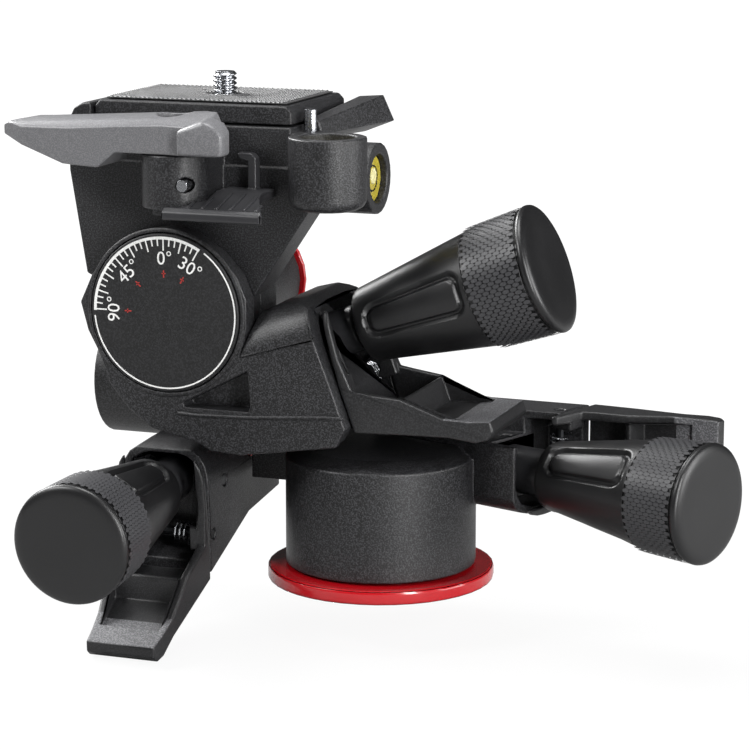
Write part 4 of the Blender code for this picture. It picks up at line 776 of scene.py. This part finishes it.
def camera_screw(s, low, high, middle):
    """The camera screw: a flat head under the plate and a stud with a cut thread."""
    reach, head_radius = high.z - low.z, (high.x - low.x) / 2
    head, stud, tip = reach * SCREW_HEAD_SHARE, head_radius * SCREW_STUD_SHARE, s.thread_depth
    outline = ((0, 0), (0, head_radius - tip), (tip, head_radius), (head, head_radius), (head, stud),
               (reach - tip, stud), (reach, stud - tip), (reach, 0))
    bm = turned(outline, THREAD_TURNS, {THREAD_STRETCH: THREAD_CUTS})
    for vert in bm.verts:
        out = math.hypot(vert.co.y, vert.co.z)
        if vert.co.x <= head + tip / 4 or out < stud - tip / 2:
            continue
        turn = math.atan2(vert.co.z, vert.co.y) / (2 * math.pi)
        groove = abs(2 * ((vert.co.x / s.thread_pitch - turn) % 1) - 1)
        cut = ease(groove * THREAD_FLANK - (THREAD_FLANK - 1) / 2)
        vert.co.yz *= (out - s.thread_depth * cut) / out
    bm.transform(Matrix.Translation((middle.x, middle.y, low.z)) @ Matrix.Rotation(-QUARTER, 4, "Y"))
    return bm


def diamond_pad(s, low, high, screw):
    """The rubber pad with rows of low pyramids, plain round the camera screw."""
    bm = merged_copy("plate_pad")
    for vert in bm.verts:
        if vert.co.z > (low.z + high.z) / 2:
            vert.co.z -= s.diamond_height
    base, step = high.z - s.diamond_height, s.diamond_pitch / 2
    columns, rows = (int((high[k] - low[k]) / step) for k in (0, 1))
    for column in range(1, columns):
        for row in range(1 + column % 2, rows, 2):
            x, y = low.x + column * step, low.y + row * step
            if math.hypot(x - screw.x, y - screw.y) < PAD_PLAIN_RADIUS:
                continue
            ring = [bm.verts.new((x + dx * step, y + dy * step, base)) for dx, dy in CORNERS]
            top = bm.verts.new((x, y, high.z))
            for a, b in zip(ring, ring[1:] + ring[:1]):
                bm.faces.new((a, b, top)).material_index = 1
    return bm


def catch_ribs(s):
    """Ribs along the catch's finger, between its lip and its root."""
    low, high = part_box("safety_catch")
    wide, deep = high.x - low.x, high.y - low.y
    bm = bmesh.new()
    for across, start, end in CATCH_RIBS:
        one = bmesh.new()
        bmesh.ops.create_cube(one, size=1)
        near, far = low.y + start * deep, low.y + end * deep
        along = math.hypot(far - near, CATCH_SLOPE * (far - near))
        bmesh.ops.scale(one, vec=(s.rib_width, along, 2 * s.rib_height), verts=one.verts[:])
        rounded(one, s.rib_width / 3)
        middle = (near + far) / 2
        lift = CATCH_LIFT + CATCH_SLOPE * (middle - low.y)
        at = Matrix.Translation((low.x + across * wide, middle, low.z + lift))
        one.transform(at @ Matrix.Rotation(math.atan(CATCH_SLOPE), 4, "X"))
        join(bm, one)
    return bm


def lock_block():
    """The faceted block on the lock lever's short end, its top lower at the front."""
    low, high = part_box("lock_lever")
    tall = high.z - low.z
    outline = [(high.x + x * tall, low.z + z * tall) for x, z in LOCK_BLOCK_SHARES]
    bm = slab(outline, low.y - LOCK_BLOCK_RISE, low.y + 2 * LOCK_BLOCK_RISE)
    for vert in bm.verts:
        if vert.co.y < low.y and vert.co.z > low.z + tall / 2:
            vert.co.z -= LOCK_BLOCK_RISE / 2
    return rounded(bm, LOCK_BLOCK_ROUND)


def dial_bezel(s, middle, front, radius):
    """A stepped ring round the dial."""
    inner, outer = (radius + s.bezel_width * share for share in BEZEL_EDGE_SHARES)
    high = s.bezel_height
    step_in, step_out = (high * share for share in BEZEL_STEP_SHARES)
    bm = turned(((0, inner), (step_in, inner), (high, inner + high / 2), (high, outer - high),
                 (step_out, outer), (0, outer), (0, inner)), BEZEL_TURNS)
    bm.transform(Matrix.Translation((middle.x, front, middle.z)) @ Matrix.Rotation(-QUARTER, 4, "Z"))
    return bm


def tube_along(points, radius):
    """A round bar through points, closed and rounded off at its ends."""
    bm = bmesh.new()
    rings = []
    ends = (points[0] + (points[0] - points[1]).normalized() * radius,
            points[-1] + (points[-1] - points[-2]).normalized() * radius)
    path = [ends[0], *points, ends[1]]
    for index, point in enumerate(path):
        ahead = path[min(index + 1, len(path) - 1)] - path[max(index - 1, 0)]
        side = ahead.cross(Vector((0, 1, 0))).normalized()
        size = radius * (RIDGE_END_SHARE if index in (0, len(path) - 1) else 1)
        other = side.cross(ahead).normalized()
        turns = (2 * math.pi * k / RIDGE_SIDES for k in range(RIDGE_SIDES))
        rings.append([bm.verts.new(point + size * (math.cos(a) * side + math.sin(a) * other))
                      for a in turns])
    for one, two in zip(rings, rings[1:]):
        for k in range(RIDGE_SIDES):
            after = (k + 1) % RIDGE_SIDES
            bm.faces.new((one[k], one[after], two[after], two[k]))
    bm.faces.new(rings[0][::-1])
    bm.faces.new(rings[-1])
    return closed(bm)


def level_ring(s):
    """The black circle that the bubble is set to, facing +X."""
    inner, height = s.bubble_radius * LEVEL_RING_SHARE, s.bubble_radius * LEVEL_RING_HEIGHT_SHARE
    outer = inner + 3 * height
    return turned(((0, inner), (height, inner), (height, outer), (0, outer), (0, inner)),
                  LEVEL_RING_TURNS)


def level_bubble(s):
    """A bubble that shows as a low clear dome with a thick edge, facing +X."""
    return turned([(a * s.bubble_radius, r * s.bubble_radius) for a, r in BUBBLE_SHARES], BUBBLE_TURNS)


class HEAD_OT_details(bpy.types.Operator):
    """Add the thread, the pad's diamonds, the catch's ribs, the dial's ring and the levels"""
    bl_idname = "head.details"
    bl_label = "Details"

    def execute(self, context):
        s = sizes(DETAIL)
        low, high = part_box("camera_screw")
        screw = (low + high) / 2
        piece(camera_screw(s, low, high, screw), "camera_screw_threaded", bright_steel(), "screw",
              ["camera_screw"], SCREW_SHARP)
        pad = piece(diamond_pad(s, *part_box("plate_pad"), screw), "pad_diamonds", rubber_pad(), "plate",
                    ["plate_pad"], FLAT_ANGLE)
        pad.data.materials.append(worn_rubber())
        piece(lock_block(), "lock_lever_block", anthracite_coat(), "lock")
        piece(catch_ribs(s), "catch_ribs", gloss_plastic(), "catch")
        low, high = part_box("tilt_dial")
        body_low, body_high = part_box("tilt_body")
        bezel = dial_bezel(s, (low + high) / 2, body_low.y, (high.x - low.x) / 2)
        piece(bezel, "dial_bezel", powder_coat(), "tilt_arm")
        span = body_high - body_low
        path = [Vector((body_low.x + x * span.x, body_low.y, body_low.z + z * span.z))
                for x, z in RIDGE_SHARES]
        ridge = tube_along(path, s.ridge_radius)
        piece(ridge, "body_ridge", powder_coat(), "tilt_arm")
        shift = Matrix.Translation([share * s.bubble_radius for share in BUBBLE_SHIFT_SHARES])
        upwards = Matrix.Rotation(-QUARTER, 4, "Y")
        for node, turn, side in (("eye_vial", upwards, 2), ("tube_vial", Matrix(), 0)):
            low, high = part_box(node)
            at = (low + high) / 2
            at[side] = high[side]
            place = Matrix.Translation(at) @ turn
            for bm, name, mat, move in ((level_ring(s), "ring", black_oxide(), Matrix()),
                                        (level_bubble(s), "bubble", clear_bubble(), shift)):
                bm.transform(place @ move)
                piece(bm, node + "_" + name, mat, "bracket")
        return {"FINISHED"}


# Dial print
DIAL_FIGURES = ((0, "0°"), (-45, "45°"), (-90, "90°"), (30, "30°"))
DIAL_STEP = 5  # degrees between two ticks
LONG_EVERY = 3
ARC_ENDS = (-91, 31)
RING_ENDS = (35, 265)
PRINT_STEP = math.radians(3)
FIGURE_SHIFT = 0.3 * MM  # makes up for the degree sign
# a red mark's bars: width, length and how far out of the mark's middle
MARK_BARS = ((0.32 * MM, 1.9 * MM, 0), (1.1 * MM, 0.28 * MM, 0.1 * MM))


def strip(width, outer, ends, height):
    """A flat arc about Y, facing -Y, its angles from the top towards +X."""
    first, last = (math.radians(degrees) for degrees in ends)
    bm = bmesh.new()
    one, two = (bm.verts.new((out * math.sin(first), 0, out * math.cos(first)))
                for out in (outer - width, outer))
    edge = bm.edges.new((one, two))
    steps = max(2, round((last - first) / PRINT_STEP))
    bmesh.ops.spin(bm, geom=[one, two, edge], cent=(0, 0, 0), axis=(0, 1, 0), angle=last - first,
                   steps=steps)
    return thick(bm, height)


def bar(wide, tall, out, degrees, height):
    """A printed bar that points away from the dial's centre."""
    bm = bmesh.new()
    bmesh.ops.create_grid(bm, x_segments=1, y_segments=1, size=0.5)
    bmesh.ops.scale(bm, vec=(wide, tall, 1), verts=bm.verts[:])
    bmesh.ops.translate(bm, vec=(0, out, 0), verts=bm.verts[:])
    bm.transform(Matrix.Rotation(math.radians(degrees), 4, "Y") @ Matrix.Rotation(QUARTER, 4, "X"))
    return thick(bm, height)


def thick(bm, height):
    """Give a flat XZ print its thickness towards -Y."""
    grown = bmesh.ops.extrude_face_region(bm, geom=bm.faces[:])
    top = [v for v in grown["geom"] if isinstance(v, bmesh.types.BMVert)]
    bmesh.ops.translate(bm, verts=top, vec=(0, -height, 0))
    return closed(bm)


def figure(text, height, rise):
    """A printed number in the XZ plane, centred, read from -Y."""
    curve = bpy.data.curves.new("figure", "FONT")
    curve.body = text
    curve.size = height
    curve.align_x = "CENTER"
    curve.align_y = "CENTER"
    curve.resolution_u = 3
    ob = bpy.data.objects.new("figure", curve)
    bpy.context.scene.collection.objects.link(ob)
    graph = bpy.context.evaluated_depsgraph_get()
    mesh = bpy.data.meshes.new_from_object(ob.evaluated_get(graph))
    bm = bmesh.new()
    bm.from_mesh(mesh)
    bpy.data.objects.remove(ob)
    bpy.data.curves.remove(curve)
    bpy.data.meshes.remove(mesh)
    bmesh.ops.remove_doubles(bm, verts=bm.verts[:], dist=NODE_MERGE_DISTANCE)
    bm.transform(Matrix.Rotation(QUARTER, 4, "X"))
    return thick(bm, rise)


def dial_print(s):
    """The white scale: thick arc with ticks, thin ring and numbers."""
    bm = bmesh.new()
    join(bm, strip(s.arc_width, s.ring_radius, ARC_ENDS, s.print_height))
    join(bm, strip(s.ring_width, s.ring_radius, RING_ENDS, s.print_height))
    inner = s.ring_radius - s.arc_width
    first, last = (pick(degrees for degrees, text in DIAL_FIGURES) // DIAL_STEP for pick in (min, max))
    for step in range(first, last + 1):
        reach = s.short_tick if step % LONG_EVERY else s.long_tick
        join(bm, bar(s.tick_width, reach, inner - reach / 2, step * DIAL_STEP, s.print_height))
    for degrees, text in DIAL_FIGURES:
        number = figure(text, s.figure_height, s.print_height)
        number.transform(Matrix.Rotation(math.radians(degrees), 4, "Y")
                         @ Matrix.Translation((FIGURE_SHIFT, 0, s.figure_radius)))
        join(bm, number)
    return bm


def dial_marks(s):
    """Small red pointers under the numbers."""
    bm = bmesh.new()
    for degrees, _ in DIAL_FIGURES:
        for wide, tall, shift in MARK_BARS:
            join(bm, bar(wide, tall, s.mark_radius + shift, degrees, s.print_height))
    return bm


class HEAD_OT_dial(bpy.types.Operator):
    """Print the scale and its numbers on the tilt dial"""
    bl_idname = "head.dial"
    bl_label = "Dial print"

    def execute(self, context):
        s = sizes(DIAL)
        low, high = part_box("tilt_dial")
        middle = (low + high) / 2
        at = Matrix.Translation((middle.x, low.y, middle.z))
        for bm, name, mat in ((dial_print(s), "dial_scale", scale_print()),
                              (dial_marks(s), "dial_marks", red_print())):
            bm.transform(at)
            piece(bm, name, mat, "tilt_arm")
        return {"FINISHED"}


# Stage
# the floor: its size and grey, and how much of its own white it shows the camera from where to where
FLOOR_HALF = 6
FLOOR_GAP = 0.5 * MM
FLOOR_GREY = 0.3
FLOOR_ROUGHNESS = 0.9
SHADOW_RADIUS = 0.09
WHITE_RADIUS = 0.30
FLOOR_GLOW = 0.84
FLOOR_LIGHT = 1.1
ROOM_LIGHT = 0.05
LAMP_AIM = (-0.01, 0, 0.06)
# name, place, width, height and power
LAMPS = (
    ("key_right", (0.74, -0.62, 0.30), 0.20, 0.80, 12),
    ("front_left", (-0.60, -0.52, 0.68), 0.30, 0.16, 6),
    ("side_right", (1.0, 0.10, 0.25), 0.50, 0.60, 8),
    ("left_bank", (-0.80, 0.25, 0.60), 0.80, 0.30, 16),
    ("top", (-0.05, 0.0, 1.0), 0.50, 0.50, 8),
)
# the camera, as solved from the photograph
CAMERA_RANGE = 0.715
CAMERA_HEIGHT = 0.201
CAMERA_TURN = math.radians(20)
CAMERA_AIM = math.atan(6 / 2783)  # pixels off the middle, over the focal length in pixels
CAMERA_DROP = math.radians(11.6)
CAMERA_LENS = 133.58
SENSOR_WIDTH = 36
CLIP_START = 0.01


def soft_box(name, where, width, height, power):
    """A soft box that looks at the object."""
    lamp = bpy.data.lights.new(name, "AREA")
    lamp.shape = "RECTANGLE"
    lamp.size = width
    lamp.size_y = height
    lamp.energy = power
    ob = bpy.data.objects.new(name, lamp)
    ob.location = where
    ob.rotation_euler = (Vector(LAMP_AIM) - Vector(where)).to_track_quat("-Z", "Y").to_euler()
    bpy.context.scene.collection.objects.link(ob)


def pale_floor():
    """A matt pale floor: white to the camera far out, with the object's soft shadow close by."""
    mat = bpy.data.materials.new("pale_matt_floor")
    mat.use_nodes = True
    nodes = mat.node_tree.nodes
    shader = nodes["Principled BSDF"]
    shader.inputs["Base Color"].default_value = (FLOOR_GREY, FLOOR_GREY, FLOOR_GREY, 1)
    shader.inputs["Roughness"].default_value = FLOOR_ROUGHNESS
    place = add(nodes, "ShaderNodeTexCoord").outputs["Object"]
    away = add(nodes, "ShaderNodeVectorMath", {0: place}, operation="LENGTH")
    reach = {"From Min": SHADOW_RADIUS, "From Max": WHITE_RADIUS, "To Min": FLOOR_GLOW, "To Max": 1.0}
    far = add(nodes, "ShaderNodeMapRange", {"Value": away.outputs["Value"]},
              interpolation_type="SMOOTHSTEP", **reach)
    rays = add(nodes, "ShaderNodeLightPath")
    seen = add(nodes, "ShaderNodeMath",
               {0: rays.outputs["Is Camera Ray"], 1: far.outputs["Result"]}, operation="MULTIPLY")
    glow = add(nodes, "ShaderNodeEmission", Color=(1, 1, 1, 1), Strength=FLOOR_LIGHT)
    mix = add(nodes, "ShaderNodeMixShader",
              {0: seen.outputs[0], 1: shader.outputs[0], 2: glow.outputs[0]})
    mat.node_tree.links.new(mix.outputs[0], nodes["Material Output"].inputs["Surface"])
    return mat


def studio_world():
    """Even dim light from the room, which is white to the camera alone."""
    world = bpy.data.worlds.new("studio")
    bpy.context.scene.world = world
    world.use_nodes = True
    nodes = world.node_tree.nodes
    rays = add(nodes, "ShaderNodeLightPath")
    power = add(nodes, "ShaderNodeMapRange", {"Value": rays.outputs["Is Camera Ray"]}, **{
        "To Min": ROOM_LIGHT, "To Max": 1.0})
    back = nodes["Background"]
    back.inputs["Color"].default_value = (1, 1, 1, 1)
    world.node_tree.links.new(power.outputs["Result"], back.inputs["Strength"])


class HEAD_OT_stage(bpy.types.Operator):
    """Set the floor, the lamps and the camera"""
    bl_idname = "head.stage"
    bl_label = "Stage"

    def execute(self, context):
        scene = context.scene
        bm = bmesh.new()
        bmesh.ops.create_grid(bm, x_segments=1, y_segments=1, size=FLOOR_HALF)
        mesh = bpy.data.meshes.new("floor")
        bm.to_mesh(mesh)
        bm.free()
        floor = bpy.data.objects.new("floor", mesh)
        scene.collection.objects.link(floor)
        mesh.materials.append(pale_floor())
        floor.location.z = CAD_BOX[0].z - FLOOR_GAP
        for lamp in LAMPS:
            soft_box(*lamp)
        studio_world()
        camera = bpy.data.objects.new("camera", bpy.data.cameras.new("camera"))
        scene.collection.objects.link(camera)
        camera.location = (CAMERA_RANGE * math.sin(CAMERA_TURN),
                           -CAMERA_RANGE * math.cos(CAMERA_TURN), CAMERA_HEIGHT)
        camera.rotation_euler = (QUARTER - CAMERA_DROP, 0, CAMERA_TURN + CAMERA_AIM)
        camera.data.sensor_width = SENSOR_WIDTH
        camera.data.lens = CAMERA_LENS
        camera.data.clip_start = CLIP_START
        scene.camera = camera
        scene.view_settings.view_transform = "Standard"
        return {"FINISHED"}


class HEAD_PT_panel(bpy.types.Panel):
    """Steps that dress the geared head"""
    bl_idname = "HEAD_PT_panel"
    bl_label = "Geared head"
    bl_space_type = "VIEW_3D"
    bl_region_type = "UI"
    bl_category = "Geared head"

    def draw(self, context):
        for step in STEPS:
            self.layout.operator(step.bl_idname)
        for group in GROUPS:
            box = self.layout.box()
            owner = getattr(context.scene, group)
            for name in owner.__annotations__:
                box.prop(owner, name)


STEPS = (HEAD_OT_stage, HEAD_OT_knobs, HEAD_OT_castings, HEAD_OT_details, HEAD_OT_metalwork,
         HEAD_OT_dial)
GROUPS = {KNOBS: HeadKnobSizes, DIAL: HeadDialSizes, DETAIL: HeadDetailSizes, COLOURS: HeadColours}


def register():
    """Register the classes and put the property groups on the scene."""
    for cls in (*GROUPS.values(), *STEPS, HEAD_PT_panel):
        bpy.utils.register_class(cls)
    for name, cls in GROUPS.items():
        setattr(bpy.types.Scene, name, PointerProperty(type=cls))


def unregister():
    """Take the property groups and the classes away again."""
    for name in GROUPS:
        delattr(bpy.types.Scene, name)
    for cls in reversed((*GROUPS.values(), *STEPS, HEAD_PT_panel)):
        bpy.utils.unregister_class(cls)


def main():
    """Run every step in its order."""
    register()
    bpy.ops.head.stage()
    bpy.ops.head.knobs()
    bpy.ops.head.castings()
    bpy.ops.head.details()
    bpy.ops.head.metalwork()
    bpy.ops.head.dial()


if __name__ == "__main__":
    main()
